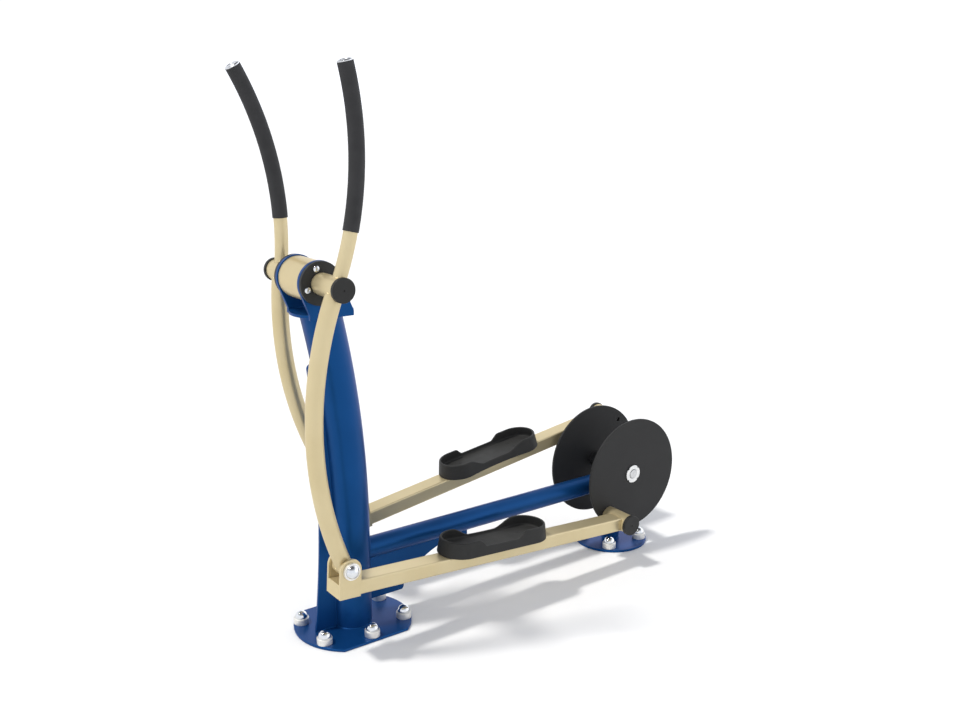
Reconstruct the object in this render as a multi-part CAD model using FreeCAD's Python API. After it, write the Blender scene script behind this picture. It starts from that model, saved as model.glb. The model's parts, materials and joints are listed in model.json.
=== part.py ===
import FreeCAD, Part
import math
import os

# Outdoor cross trainer: a bent column with two swinging levers, two pedal arms and a pair of crank disks.
# Millimetres. X runs from the column back to the disks, Y to the user's right, Z up.
# The origin is on the ground, under the middle of the column's base plate.

V = FreeCAD.Vector
os.makedirs("parts", exist_ok=True)

# Linkage: where the levers hang, where the crank turns, and the lengths between the pins
pivot_x = -104.0
pivot_z = 1050.0
axle_x = 1039.0
axle_z = 272.0
lever_length = 775.0
crank_radius = 164.0
crank_angle = 229.0
arm_span = 1046.0
pin_rise = 59.0
lever_y = 162.5

# Clearances
running_gap = 0.05
face_gap = 0.3
hub_gap = 0.5

# Ground plates and anchor holes for M16 studs
plate_thickness = 8.0
base_radius = 175.0
base_half_width = 140.0
base_anchor_x = 133.0
base_anchor_y = 73.0
side_anchor_y = 115.0
rear_plate_radius = 125.0
rear_anchor_radius = 99.0
anchor_hole_radius = 9.0
anchor_cap_radius = 22.5
anchor_cap_collar = 19.0
anchor_cap_height = 39.0
anchor_cap_wall = 2.5
acorn_step = 4.0

# Column, fin and head
column_radius = 57.15
column_wall = 4.0
column_bend_start = 330.0
column_bend_radius = 2850.0
column_top = 955.0
fin_thickness = 8.0
fin_foot_reach = 125.0
fin_waist_reach = 98.5
fin_top_reach = 117.5
fin_waist_z = 410.0
fin_top_z = 815.0
fin_corner = 14.0
head_plate_radius = 88.0
head_plate_thickness = 8.0
head_plate_shift = 4.0
ear_thickness = 11.0
ear_radius = 60.4
ear_foot_half = 66.0
ear_foot_height = 14.0
ear_foot_drop = 4.0
ear_foot_shift = 0.5

# Pivot drum, its bearing flanges and bolts
drum_radius = 57.15
drum_wall = 6.0
drum_half = 59.0
flange_thickness = 10.0
flange_radius = 59.7
spigot_length = 56.0
spigot_wall = 5.0
pivot_bearing_radius = 31.0
pivot_bearing_width = 14.0
flange_bolt_circle = 42.6
flange_bolt_offset = 18.5
flange_bolt_count = 4
flange_bolt_radius = 5.0
flange_bolt_head_radius = 9.2
flange_bolt_head_height = 7.0

# Beam, gusset and rear post
beam_radius = 31.75
beam_wall = 3.0
beam_z = 226.0
beam_overhang = 46.0
gusset_thickness = 8.0
gusset_foot_z = 59.0
gusset_foot_x = 175.0
gusset_corner = 10.0
gusset_knee_x = 262.0
gusset_knee_z = 149.0
gusset_tip_x = 416.0
gusset_tip_drop = 17.0
post_radius = 30.15
post_wall = 3.0

# Crank axle, its housing and the disks
housing_radius = 33.0
housing_half = 55.0
axle_bearing_radius = 27.5
axle_bearing_width = 13.0
axle_radius = 15.0
axle_shoulder_radius = 18.0
disk_radius = 191.5
disk_thickness = 8.0
disk_outer_y = 100.0
disk_boss_radius = 25.0
crank_hole_radius = 7.0
axle_nut_radius = 30.5
axle_nut_thickness = 8.0
axle_nut_sink = 4.0
axle_nut_room = 0.5
axle_nut_notch = 7.0
axle_nut_notch_depth = 3.0
axle_end_proud = 1.0
key_width = 8.0
key_height = 7.0
key_sink = 4.0
key_length = 28.0
key_head_room = 0.3

# Levers, handles and grips
lever_tube_radius = 24.15
lever_tube_wall = 4.0
lever_bow_radius = 1010.0
handle_tube_radius = 19.0
handle_tube_wall = 3.0
handle_bow_radius = 903.5
handle_length = 575.0
grip_start = 150.0
grip_thickness = 2.4
plug_thickness = 5.0
plug_step = 0.6
plug_spigot = 22.0
hub_radius = 30.15
hub_wall = 5.0
hub_outer_y = 193.0
pivot_shaft_radius = 17.5
pivot_collar_radius = 21.5
collar_room = 1.0
shaft_plug_length = 48.0
retainer_radius = 23.0
retainer_thickness = 5.0
retainer_bolt_radius = 6.0
retainer_head_radius = 9.5
retainer_head_height = 7.5
retainer_bolt_depth = 30.0
foot_sleeve_land = 0.85
foot_sleeve_length = 54.0
bush_wall = 4.5
bush_length = 22.0
bush_flange_reach = 5.0

# Black end caps of the hubs and the crank sleeves
end_cap_radius = 33.5
end_cap_thickness = 12.0
end_cap_spigot = 8.0
end_cap_edge = 2.0
end_cap_dimple_radius = 2.2
end_cap_dimple_depth = 1.8

# Arms and clevises
arm_width = 60.0
arm_height = 43.0
arm_wall = 3.0
arm_corner = 5.0
arm_end_plate = 4.0
clevis_half = 33.0
clevis_thickness = 8.0
clevis_pin_radius = 12.5
clevis_thread_radius = 10.0
clevis_thread_length = 14.0
dome_nut_radius = 24.5
dome_nut_collar = 9.0
dome_nut_height = 24.0
crank_sleeve_radius = 30.15
crank_sleeve_wall = 6.0
crank_sleeve_gap = 3.0
crank_sleeve_proud = 12.0
crank_bush_length = 30.0
crank_pin_radius = 15.0
crank_pin_head_radius = 19.5
crank_pin_head_height = 4.0
crank_pin_recess = 12.0

# Foot trays
pedal_length = 383.0
pedal_width = 135.5
pedal_shift = 6.75
pedal_waist = 9.0
pedal_lobe_height = 47.5
pedal_floor = 14.0
pedal_wall = 7.0
pedal_lean = 7.0
pedal_centre = 516.0
outer_rim_height = 27.0
outer_toe_end = -91.0
outer_toe_ramp = 27.0
outer_heel_end = 85.0
outer_heel_ramp = 31.0
inner_rim_height = 22.0
inner_toe_end = -112.0
inner_toe_ramp = 60.0
inner_heel_end = 112.0
inner_heel_ramp = 72.0
pedal_bolt_spacing_x = 200.0
pedal_bolt_spacing_y = 34.0
pedal_bolt_radius = 4.0
pedal_bolt_head_radius = 8.0
pedal_bolt_head_height = 4.4
pedal_bolt_head_room = 0.6
pedal_bolt_tail = 12.0

# Values that follow from the sizes above
arm_length = math.hypot(arm_span, pin_rise)
arm_offset_angle = math.degrees(math.asin(pin_rise / arm_length))
bow_angle = 2 * math.degrees(math.asin(lever_length / 2 / lever_bow_radius))
ear_outer_y = drum_half + ear_thickness
flange_outer_y = ear_outer_y + flange_thickness
hub_inner_y = flange_outer_y + hub_gap
hub_bore = hub_radius - hub_wall
spigot_radius = pivot_bearing_radius + spigot_wall
spigot_end_y = ear_outer_y - spigot_length
inner_bearing_y = spigot_end_y + retainer_thickness
outer_bearing_y = ear_outer_y - pivot_bearing_width
foot_sleeve_radius = lever_tube_radius + foot_sleeve_land
bush_radius = clevis_pin_radius + running_gap + bush_wall
clevis_inner = arm_width / 2
bush_flange = clevis_inner - face_gap - foot_sleeve_length / 2
arm_top = arm_height / 2 - pin_rise
disk_inner_y = disk_outer_y - disk_thickness
boss_inner_y = housing_half + face_gap
sleeve_inner_y = disk_outer_y + crank_sleeve_gap
sleeve_outer_y = lever_y + arm_width / 2 + crank_sleeve_proud
nut_inner_y = disk_outer_y - axle_nut_sink
nut_outer_y = nut_inner_y + axle_nut_thickness
plug_radius = handle_tube_radius + grip_thickness - plug_step
beam_end_x = axle_x + beam_overhang
gusset_tip_z = beam_z - beam_radius - gusset_tip_drop
pivot = V(pivot_x, 0, pivot_z)
axle = V(axle_x, 0, axle_z)
origin = V(0, 0, 0)
swing_axis = V(0, -1, 0)
across = V(0, 1, 0)
up = V(0, 0, 1)


# Basic solids

def cross_rod(radius, centre, y0, y1):
    return Part.makeCylinder(radius, y1 - y0, V(centre.x, y0, centre.z), across)


def cross_tube(outer, inner, centre, y0, y1):
    return cross_rod(outer, centre, y0, y1).cut(cross_rod(inner, centre, y0, y1))


def upright(radius, x, y, z0, z1):
    return Part.makeCylinder(radius, z1 - z0, V(x, y, z0))


def block(x0, x1, y0, y1, z0, z1):
    return Part.makeBox(x1 - x0, y1 - y0, z1 - z0, V(x0, y0, z0))


def turned(profile, base, direction):
    """Revolve (radius, height) points about an axis that starts at base."""
    points = [V(r, 0, h) for r, h in profile]
    face = Part.Face(Part.makePolygon(points + points[:1]))
    solid = face.revolve(origin, up, 360)
    solid.Placement = FreeCAD.Placement(base, FreeCAD.Rotation(up, direction))
    return solid


def acorn(radius, collar, height, base, direction):
    """A round cap nut: a collar with a slightly smaller ball on top."""
    ball_radius = radius - acorn_step
    ball = Part.makeSphere(ball_radius, V(0, 0, height - ball_radius))
    above = Part.makeCylinder(radius, height, V(0, 0, collar))
    cap = Part.makeCylinder(radius, collar).fuse(ball.common(above)).removeSplitter()
    cap.Placement = FreeCAD.Placement(base, FreeCAD.Rotation(up, direction))
    return cap


def button_head(radius, height, base, direction):
    """A round bolt head with a bevelled crown."""
    profile = [(0, 0), (radius, 0), (radius, height * 0.45), (radius * 0.62, height), (0, height)]
    return turned(profile, base, direction)


def plate(edges, y0, y1):
    """Extrude a closed outline in the XZ plane from y0 to y1."""
    face = Part.Face(Part.Wire(edges))
    solid = face.extrude(V(0, y1 - y0, 0))
    solid.translate(V(0, y0, 0))
    return solid


def line(a, b):
    return Part.LineSegment(a, b).toShape()


def arc(a, b, c):
    return Part.Arc(a, b, c).toShape()


def flat(x, z):
    return V(x, 0, z)


def bent_rod(radius, centre, start, angle):
    """A round bar that starts at one point and bends about a centre by an angle."""
    arm = start - centre
    ring = Part.Wire(Part.Circle(start, V(-arm.z, 0, arm.x), radius).toShape())
    return Part.Face(ring).revolve(centre, swing_axis, angle)


def swung(point, centre, angle):
    a = math.radians(angle)
    dx = point.x - centre.x
    dz = point.z - centre.z
    turned_x = dx * math.cos(a) - dz * math.sin(a)
    turned_z = dx * math.sin(a) + dz * math.cos(a)
    return V(centre.x + turned_x, point.y, centre.z + turned_z)


def slotted_bar(x0, x1, half_y, half_z, corner, mid_z):
    """A rectangular bar along X with rounded long edges."""
    y, z, r = half_y, half_z, corner
    k = r * (1 - math.sqrt(0.5))
    c = [V(x0, sy * y, mid_z + sz * z) for sy, sz in ((-1, -1), (1, -1), (1, 1), (-1, 1))]
    sides = []
    for i in range(4):
        a, b, after = c[i], c[(i + 1) % 4], c[(i + 2) % 4]
        along = (b - a).normalize()
        onward = (after - b).normalize()
        sides.append(line(a + along * r, b - along * r))
        sides.append(arc(b - along * r, b - along * k + onward * k, b + onward * r))
    return Part.Face(Part.Wire(sides)).extrude(V(x1 - x0, 0, 0))


def both_sides(shape):
    return [shape, shape.mirror(origin, across)]


def group(solids):
    return Part.makeCompound(solids)


def save(name, shape):
    shape.exportStep("parts/" + name + ".step")


# Frame: ground plates, column, head, beam and rear post

def anchor_points():
    corners = [(sx * base_anchor_x, sy * base_anchor_y) for sx in (-1, 1) for sy in (-1, 1)]
    sides = [(0, sy * side_anchor_y) for sy in (-1, 1)]
    return corners + sides


def rear_anchor_points():
    points = []
    for i in range(4):
        a = math.radians(45 + 90 * i)
        points.append((axle_x + rear_anchor_radius * math.cos(a), rear_anchor_radius * math.sin(a)))
    return points


def drilled(shape, points):
    for x, y in points:
        shape = shape.cut(upright(anchor_hole_radius, x, y, -1, plate_thickness + 1))
    return shape


def base_plate():
    disk = upright(base_radius, 0, 0, 0, plate_thickness)
    strip = block(-base_radius, base_radius, -base_half_width, base_half_width, 0, plate_thickness)
    return drilled(disk.common(strip), anchor_points())


def rear_plate():
    return drilled(upright(rear_plate_radius, axle_x, 0, 0, plate_thickness), rear_anchor_points())


def anchor_caps():
    caps = []
    for x, y in anchor_points() + rear_anchor_points():
        seat = V(x, y, plate_thickness)
        cap = acorn(anchor_cap_radius, anchor_cap_collar, anchor_cap_height, seat, up)
        hollow = acorn(
            anchor_cap_radius - anchor_cap_wall, anchor_cap_collar - anchor_cap_wall,
            anchor_cap_height - anchor_cap_wall, seat, up,
        )
        caps.append(cap.cut(hollow))
    return group(caps)


def column_rod(radius):
    """The column's bent bar of one radius, a little longer than its tube."""
    bend_start = flat(0, column_bend_start)
    bend_centre = flat(-column_bend_radius, column_bend_start)
    rise = column_top - column_bend_start + 2 * column_radius
    bend_angle = math.degrees(math.asin(rise / column_bend_radius))
    straight = upright(radius, 0, 0, plate_thickness, column_bend_start)
    return straight.fuse(bent_rod(radius, bend_centre, bend_start, bend_angle))


def column_top_x():
    rise = column_top - column_bend_start
    return math.sqrt(column_bend_radius ** 2 - rise ** 2) - column_bend_radius


def column_tube():
    tube = column_rod(column_radius).cut(column_rod(column_radius - column_wall))
    reach = 3 * column_radius
    top_x = column_top_x()
    waste = block(top_x - reach, top_x + reach, -reach, reach, column_top, column_top + reach)
    return tube.cut(waste).removeSplitter()


def column_fin():
    """The curved plate along the front of the column, waisted in the middle."""
    foot = flat(-fin_foot_reach, plate_thickness)
    waist = flat(-fin_waist_reach, fin_waist_z)
    shoulder = flat(-fin_top_reach, fin_top_z - fin_corner)
    bend = fin_corner * (1 - math.sqrt(0.5))
    knuckle = flat(-fin_top_reach + bend, fin_top_z - bend)
    top = flat(-fin_top_reach + fin_corner, fin_top_z)
    inside_top = flat(0, fin_top_z)
    inside_foot = flat(0, plate_thickness)
    edges = [
        arc(foot, waist, shoulder),
        arc(shoulder, knuckle, top),
        line(top, inside_top),
        line(inside_top, inside_foot),
        line(inside_foot, foot),
    ]
    fin = plate(edges, -fin_thickness / 2, fin_thickness / 2).cut(column_rod(column_radius))
    return max(fin.Solids, key=lambda s: -s.BoundBox.XMin)


def head_plate():
    mid_x = column_top_x() + head_plate_shift
    disk = upright(head_plate_radius, mid_x, 0, column_top, column_top + head_plate_thickness)
    strip = block(
        mid_x - head_plate_radius, mid_x + head_plate_radius,
        -drum_half, drum_half, column_top, column_top + head_plate_thickness,
    )
    return disk.common(strip)


def tangent_point(outside, centre, radius, turn):
    """Where the line from an outside point touches a circle; turn is 1 or -1 for the side."""
    dx = outside.x - centre.x
    dz = outside.z - centre.z
    reach = math.hypot(dx, dz)
    a = math.atan2(dz, dx) + turn * math.acos(radius / reach)
    return flat(centre.x + radius * math.cos(a), centre.z + radius * math.sin(a))


def head_ear():
    """One ear on the user's right: a ring round the drum that runs down to a square foot."""
    foot_x = column_top_x() + ear_foot_shift
    foot_z = column_top - ear_foot_drop
    front = flat(foot_x - ear_foot_half, foot_z)
    rear = flat(foot_x + ear_foot_half, foot_z)
    front_top = front + V(0, 0, ear_foot_height)
    rear_top = rear + V(0, 0, ear_foot_height)
    front_touch = tangent_point(front_top, pivot, ear_radius, -1)
    rear_touch = tangent_point(rear_top, pivot, ear_radius, 1)
    crown = pivot + V(0, 0, ear_radius)
    edges = [
        line(front, front_top),
        line(front_top, front_touch),
        arc(front_touch, crown, rear_touch),
        line(rear_touch, rear_top),
        line(rear_top, rear),
        line(rear, front),
    ]
    ear = plate(edges, drum_half, ear_outer_y)
    ear = ear.cut(cross_rod(spigot_radius + running_gap, pivot, drum_half, ear_outer_y))
    for hole in flange_bolt_points():
        ear = ear.cut(cross_rod(flange_bolt_radius, hole, drum_half, ear_outer_y))
    return ear


def flange_bolt_points():
    points = []
    for i in range(flange_bolt_count):
        a = math.radians(flange_bolt_offset + 360 * i / flange_bolt_count)
        points.append(pivot + V(flange_bolt_circle * math.cos(a), 0, flange_bolt_circle * math.sin(a)))
    return points


def bearing_flange():
    """The bolted bearing carrier on the user's right: a round plate with a bored spigot."""
    disk = cross_rod(flange_radius, pivot, ear_outer_y, flange_outer_y)
    spigot = cross_rod(spigot_radius, pivot, spigot_end_y, ear_outer_y)
    bore = cross_rod(pivot_bearing_radius, pivot, spigot_end_y, ear_outer_y)
    mouth = cross_rod(pivot_collar_radius + collar_room, pivot, ear_outer_y, flange_outer_y)
    flange = disk.fuse(spigot).cut(bore).cut(mouth).removeSplitter()
    for hole in flange_bolt_points():
        flange = flange.cut(cross_rod(flange_bolt_radius, hole, ear_outer_y, flange_outer_y))
    return flange


def flange_bolts():
    bolts = []
    for hole in flange_bolt_points():
        seat = V(hole.x, flange_outer_y, hole.z)
        shank = cross_rod(flange_bolt_radius, hole, drum_half, flange_outer_y)
        bolts.append(button_head(flange_bolt_head_radius, flange_bolt_head_height, seat, across).fuse(shank))
    return bolts


def pivot_bearings():
    bearings = []
    for y0 in (inner_bearing_y, outer_bearing_y):
        y1 = y0 + pivot_bearing_width
        bearings.append(cross_tube(pivot_bearing_radius, pivot_shaft_radius + running_gap, pivot, y0, y1))
    return bearings


def beam_tube():
    """The round beam from the column to the crank, closed at its rear end."""
    beam = Part.makeCylinder(beam_radius, beam_end_x, V(0, 0, beam_z), V(1, 0, 0))
    hollow = Part.makeCylinder(beam_radius - beam_wall, beam_end_x - beam_wall, V(0, 0, beam_z), V(1, 0, 0))
    column = upright(column_radius, 0, 0, beam_z - 2 * beam_radius, beam_z + 2 * beam_radius)
    housing = cross_rod(housing_radius, axle, -2 * beam_radius, 2 * beam_radius)
    return max(beam.cut(hollow).cut(column).cut(housing).Solids, key=lambda s: s.Volume)


def beam_gusset():
    """The curved plate in the corner under the beam."""
    foot = flat(0, gusset_foot_z)
    heel = flat(gusset_foot_x - gusset_corner, gusset_foot_z)
    bend = gusset_corner * (1 - math.sqrt(0.5))
    knuckle = flat(gusset_foot_x - bend, gusset_foot_z + bend)
    toe = flat(gusset_foot_x, gusset_foot_z + gusset_corner)
    knee = flat(gusset_knee_x, gusset_knee_z)
    tip = flat(gusset_tip_x, gusset_tip_z)
    tip_top = flat(gusset_tip_x, beam_z)
    root = flat(0, beam_z)
    edges = [
        line(foot, heel),
        arc(heel, knuckle, toe),
        arc(toe, knee, tip),
        line(tip, tip_top),
        line(tip_top, root),
        line(root, foot),
    ]
    gusset = plate(edges, -gusset_thickness / 2, gusset_thickness / 2)
    beam = Part.makeCylinder(beam_radius, beam_end_x, V(0, 0, beam_z), V(1, 0, 0))
    return gusset.cut(beam).cut(upright(column_radius, 0, 0, 0, beam_z + beam_radius))


def rear_post():
    tube = upright(post_radius, axle_x, 0, plate_thickness, beam_z)
    hollow = upright(post_radius - post_wall, axle_x, 0, plate_thickness, beam_z)
    beam = Part.makeCylinder(beam_radius, beam_end_x, V(0, 0, beam_z), V(1, 0, 0))
    return tube.cut(hollow).cut(beam)


def axle_housing():
    bearing_seat = housing_half - axle_bearing_width
    shell = cross_rod(housing_radius, axle, -housing_half, housing_half)
    land = axle_bearing_radius - collar_room
    shell = shell.cut(cross_rod(land, axle, -housing_half, housing_half))
    for y0, y1 in ((-housing_half, -bearing_seat), (bearing_seat, housing_half)):
        shell = shell.cut(cross_rod(axle_bearing_radius, axle, y0, y1))
    return shell


def axle_bearings():
    y0 = housing_half - axle_bearing_width
    return cross_tube(axle_bearing_radius, axle_radius + running_gap, axle, y0, housing_half)


def build_frame():
    save("base_plate", base_plate())
    save("rear_plate", rear_plate())
    save("anchor_caps", anchor_caps())
    save("column_tube", column_tube())
    save("column_fin", column_fin())
    save("head_plate", head_plate())
    for name, ear in zip(("right_ear", "left_ear"), both_sides(head_ear())):
        save(name, ear)
    save("pivot_drum", cross_tube(drum_radius, drum_radius - drum_wall, pivot, -drum_half, drum_half))
    save("bearing_flanges", group(both_sides(bearing_flange())))
    save("flange_bolts", group([b for bolt in flange_bolts() for b in both_sides(bolt)]))
    save("pivot_bearings", group([b for bearing in pivot_bearings() for b in both_sides(bearing)]))
    save("beam_tube", beam_tube())
    save("beam_gusset", beam_gusset())
    save("rear_post", rear_post())
    save("axle_housing", axle_housing())
    save("axle_bearings", group(both_sides(axle_bearings())))


# Crank: axle, keys, disks and nuts

def key_slot(depth_from, depth_to):
    """The room of the key beside the right disk, between two heights above the axle's middle."""
    y0 = boss_inner_y + 1
    return block(
        axle_x - key_width / 2, axle_x + key_width / 2, y0, y0 + key_length,
        axle_z + depth_from, axle_z + depth_to,
    )


def key_floor():
    return axle_radius - key_sink


def crank_axle():
    seat = housing_half - axle_bearing_width - face_gap
    end = nut_outer_y + axle_end_proud
    shaft = cross_rod(axle_radius, axle, -end, end).fuse(cross_rod(axle_shoulder_radius, axle, -seat, seat))
    slot = key_slot(key_floor(), 2 * axle_radius)
    for room in both_sides(slot):
        shaft = shaft.cut(room)
    return shaft.removeSplitter()


def axle_keys():
    return group(both_sides(key_slot(key_floor(), key_floor() + key_height)))


def crank_point(angle):
    a = math.radians(angle)
    return axle + V(crank_radius * math.cos(a), 0, crank_radius * math.sin(a))


def crank_disk(hole):
    """The right disk with its boss, keyway, nut recess and the hole of its crank pin."""
    disk = cross_rod(disk_radius, axle, disk_inner_y, disk_outer_y)
    boss = cross_rod(disk_boss_radius, axle, boss_inner_y, disk_inner_y)
    disk = disk.fuse(boss).cut(cross_rod(axle_radius, axle, boss_inner_y, disk_outer_y))
    keyway = key_slot(0, key_floor() + key_height + key_head_room)
    disk = disk.cut(keyway).cut(cross_rod(crank_hole_radius, hole, disk_inner_y, disk_outer_y))
    disk = disk.cut(cross_rod(axle_nut_radius + axle_nut_room, axle, nut_inner_y, disk_outer_y))
    return disk.removeSplitter()


def axle_nut():
    nut = cross_tube(axle_nut_radius, axle_radius, axle, nut_inner_y, nut_outer_y)
    half = axle_nut_notch / 2
    for i in range(4):
        floor = axle_nut_radius - axle_nut_notch_depth
        notch = block(floor, 2 * axle_nut_radius, nut_inner_y, nut_outer_y, -half, half)
        notch.rotate(origin, across, 90 * i + 45)
        notch.translate(axle)
        nut = nut.cut(notch)
    return nut


def build_crank():
    save("crank_axle", crank_axle())
    save("axle_keys", axle_keys())
    save("right_disk", crank_disk(crank_point(crank_angle + 180)))
    save("left_disk", crank_disk(crank_point(crank_angle)).mirror(origin, across))
    save("axle_nuts", group(both_sides(axle_nut())))


# Levers, modelled hanging straight down on the user's right

def lever_foot():
    return pivot - V(0, 0, lever_length)


def bow_centre():
    half_chord = lever_length / 2
    return pivot + V(math.sqrt(lever_bow_radius ** 2 - half_chord ** 2), 0, -half_chord)


def handle_centre():
    a = math.radians(bow_angle / 2)
    return pivot + V(-handle_bow_radius * math.cos(a), 0, handle_bow_radius * math.sin(a))


def lever_plane(point):
    return V(point.x, lever_y, point.z)


def handle_arc(radius, start, end):
    """A bar along the handle's bend, between two lengths measured from the pivot."""
    per_length = math.degrees(1 / handle_bow_radius)
    first = swung(lever_plane(pivot), handle_centre(), start * per_length)
    return bent_rod(radius, lever_plane(handle_centre()), first, (end - start) * per_length)


def lever_hub():
    return cross_tube(hub_radius, hub_bore, pivot, hub_inner_y, hub_outer_y)


def lever_tube():
    centre = lever_plane(bow_centre())
    tube = bent_rod(lever_tube_radius, centre, lever_plane(pivot), bow_angle)
    tube = tube.cut(bent_rod(lever_tube_radius - lever_tube_wall, centre, lever_plane(pivot), bow_angle))
    hub = cross_rod(hub_radius, pivot, hub_inner_y, hub_outer_y)
    sleeve = cross_rod(foot_sleeve_radius, lever_foot(), 0, 2 * lever_y)
    return tube.cut(hub).cut(sleeve)


def handle_tube():
    tube = handle_arc(handle_tube_radius, 0, handle_length)
    tube = tube.cut(handle_arc(handle_tube_radius - handle_tube_wall, 0, handle_length))
    return tube.cut(cross_rod(hub_radius, pivot, hub_inner_y, hub_outer_y))


def grip():
    outer = handle_arc(handle_tube_radius + grip_thickness, grip_start, handle_length)
    return outer.cut(handle_arc(handle_tube_radius, grip_start, handle_length))


def handle_plug():
    angle = math.degrees(handle_length / handle_bow_radius)
    top = swung(lever_plane(pivot), handle_centre(), angle)
    reach = top - lever_plane(handle_centre())
    bore = handle_tube_radius - handle_tube_wall
    profile = [
        (0, -plug_spigot), (bore * 0.94, -plug_spigot), (bore * 0.94, 0), (plug_radius, 0),
        (plug_radius, plug_thickness * 0.5), (plug_radius * 0.8, plug_thickness), (0, plug_thickness),
    ]
    return turned(profile, top, V(-reach.z, 0, reach.x))


def end_cap(centre, bore, seat_y):
    """A black push-in cap with an eased edge and a moulding dimple."""
    edge = end_cap_radius - end_cap_edge
    dimple_floor = end_cap_thickness - end_cap_dimple_depth
    profile = [
        (0, -end_cap_spigot), (bore, -end_cap_spigot), (bore, 0), (end_cap_radius, 0),
        (end_cap_radius, end_cap_thickness - end_cap_edge), (edge, end_cap_thickness),
        (end_cap_dimple_radius, end_cap_thickness), (end_cap_dimple_radius, dimple_floor), (0, dimple_floor),
    ]
    return turned(profile, V(centre.x, seat_y, centre.z), across)


def pivot_shaft():
    """The stepped spindle: a plug in the hub, a collar through the flange and the bearing journal."""
    plug = cross_rod(hub_bore, pivot, hub_inner_y, hub_inner_y + shaft_plug_length)
    collar = cross_rod(pivot_collar_radius, pivot, ear_outer_y + face_gap, hub_inner_y)
    journal = cross_rod(pivot_shaft_radius, pivot, inner_bearing_y - face_gap, ear_outer_y + face_gap)
    bolt_hole = cross_rod(retainer_bolt_radius, pivot, 0, inner_bearing_y - face_gap + retainer_bolt_depth)
    return plug.fuse(collar).fuse(journal).cut(bolt_hole).removeSplitter()


def shaft_retainer():
    """The washer and bolt that hold the journal in its bearings."""
    end = inner_bearing_y - face_gap
    washer = cross_tube(retainer_radius, retainer_bolt_radius, pivot, end - retainer_thickness, end)
    head_end = end - retainer_thickness - retainer_head_height
    head = cross_rod(retainer_head_radius, pivot, head_end, end - retainer_thickness)
    shank = cross_rod(retainer_bolt_radius, pivot, end - retainer_thickness, end + retainer_bolt_depth)
    return group([washer, head.fuse(shank)])


def foot_sleeve():
    half = foot_sleeve_length / 2
    return cross_tube(foot_sleeve_radius, bush_radius, lever_foot(), lever_y - half, lever_y + half)


def foot_bushes():
    """Two flanged bushes, pressed into the ends of the foot sleeve."""
    half = foot_sleeve_length / 2
    bushes = []
    for turn in (-1, 1):
        bore = clevis_pin_radius + running_gap
        rim = bush_radius + bush_flange_reach
        profile = [
            (bore, -bush_length), (bush_radius, -bush_length), (bush_radius, 0),
            (rim, 0), (rim, bush_flange), (bore, bush_flange),
        ]
        seat = V(pivot_x, lever_y + turn * half, lever_foot().z)
        bushes.append(turned(profile, seat, V(0, turn, 0)))
    return group(bushes)


def build_lever(side, angle):
    pieces = {
        "lever_hub": lever_hub(),
        "lever_tube": lever_tube(),
        "handle_tube": handle_tube(),
        "grip": grip(),
        "handle_plug": handle_plug(),
        "pivot_cap": end_cap(pivot, hub_bore, hub_outer_y),
        "pivot_shaft": pivot_shaft(),
        "shaft_retainer": shaft_retainer(),
        "foot_sleeve": foot_sleeve(),
        "foot_bushes": foot_bushes(),
    }
    for name, shape in pieces.items():
        if side == "left":
            shape = shape.mirror(origin, across)
        shape.rotate(pivot, swing_axis, angle)
        save(side + "_" + name, shape)


# Arms, modelled level on the user's right with the clevis pin at X = 0, Z = 0

def crank_end():
    return flat(arm_span, -pin_rise)


def in_arm_plane(shape):
    shape.translate(V(0, lever_y, 0))
    return shape


def pedal_bolt_points():
    half_x = pedal_bolt_spacing_x / 2
    half_y = pedal_bolt_spacing_y / 2
    return [(pedal_centre + sx * half_x, sy * half_y) for sx in (-1, 1) for sy in (-1, 1)]


def bolt_seat():
    return arm_top + pedal_floor - pedal_bolt_head_height


def arm_tube():
    tube = slotted_bar(-clevis_half, arm_span, arm_width / 2, arm_height / 2, arm_corner, -pin_rise)
    hollow = slotted_bar(
        -clevis_half + arm_end_plate, arm_span, arm_width / 2 - arm_wall, arm_height / 2 - arm_wall,
        arm_corner - arm_wall, -pin_rise,
    )
    tube = tube.cut(hollow).cut(cross_rod(crank_sleeve_radius, crank_end(), -arm_width, arm_width))
    for x, y in pedal_bolt_points():
        tube = tube.cut(upright(pedal_bolt_radius, x, y, arm_top - 2 * arm_wall, arm_top))
    return in_arm_plane(max(tube.Solids, key=lambda s: s.Volume))


def clevis_ears():
    """Two plates on the sides of the arm, rounded over the clevis pin."""
    foot_z = -pin_rise - arm_height / 2
    edges = [
        line(flat(-clevis_half, 0), flat(-clevis_half, foot_z)),
        line(flat(-clevis_half, foot_z), flat(clevis_half, foot_z)),
        line(flat(clevis_half, foot_z), flat(clevis_half, 0)),
        arc(flat(clevis_half, 0), flat(0, clevis_half), flat(-clevis_half, 0)),
    ]
    ear = plate(edges, clevis_inner, clevis_inner + clevis_thickness)
    ear = ear.cut(cross_rod(clevis_pin_radius, origin, clevis_inner, clevis_inner + clevis_thickness))
    return in_arm_plane(group(both_sides(ear)))


def clevis_pin():
    """The pin through the clevis, with a domed nut at each end."""
    ear_outer = clevis_inner + clevis_thickness
    thread_end = ear_outer + clevis_thread_length
    pin = cross_rod(clevis_pin_radius, origin, -ear_outer, ear_outer)
    pin = pin.fuse(cross_rod(clevis_thread_radius, origin, -thread_end, thread_end))
    nut = acorn(dome_nut_radius, dome_nut_collar, dome_nut_height, V(0, ear_outer, 0), across)
    nut = nut.cut(cross_rod(clevis_thread_radius, origin, ear_outer, thread_end))
    return in_arm_plane(group([pin.removeSplitter()] + both_sides(nut)))


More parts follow.
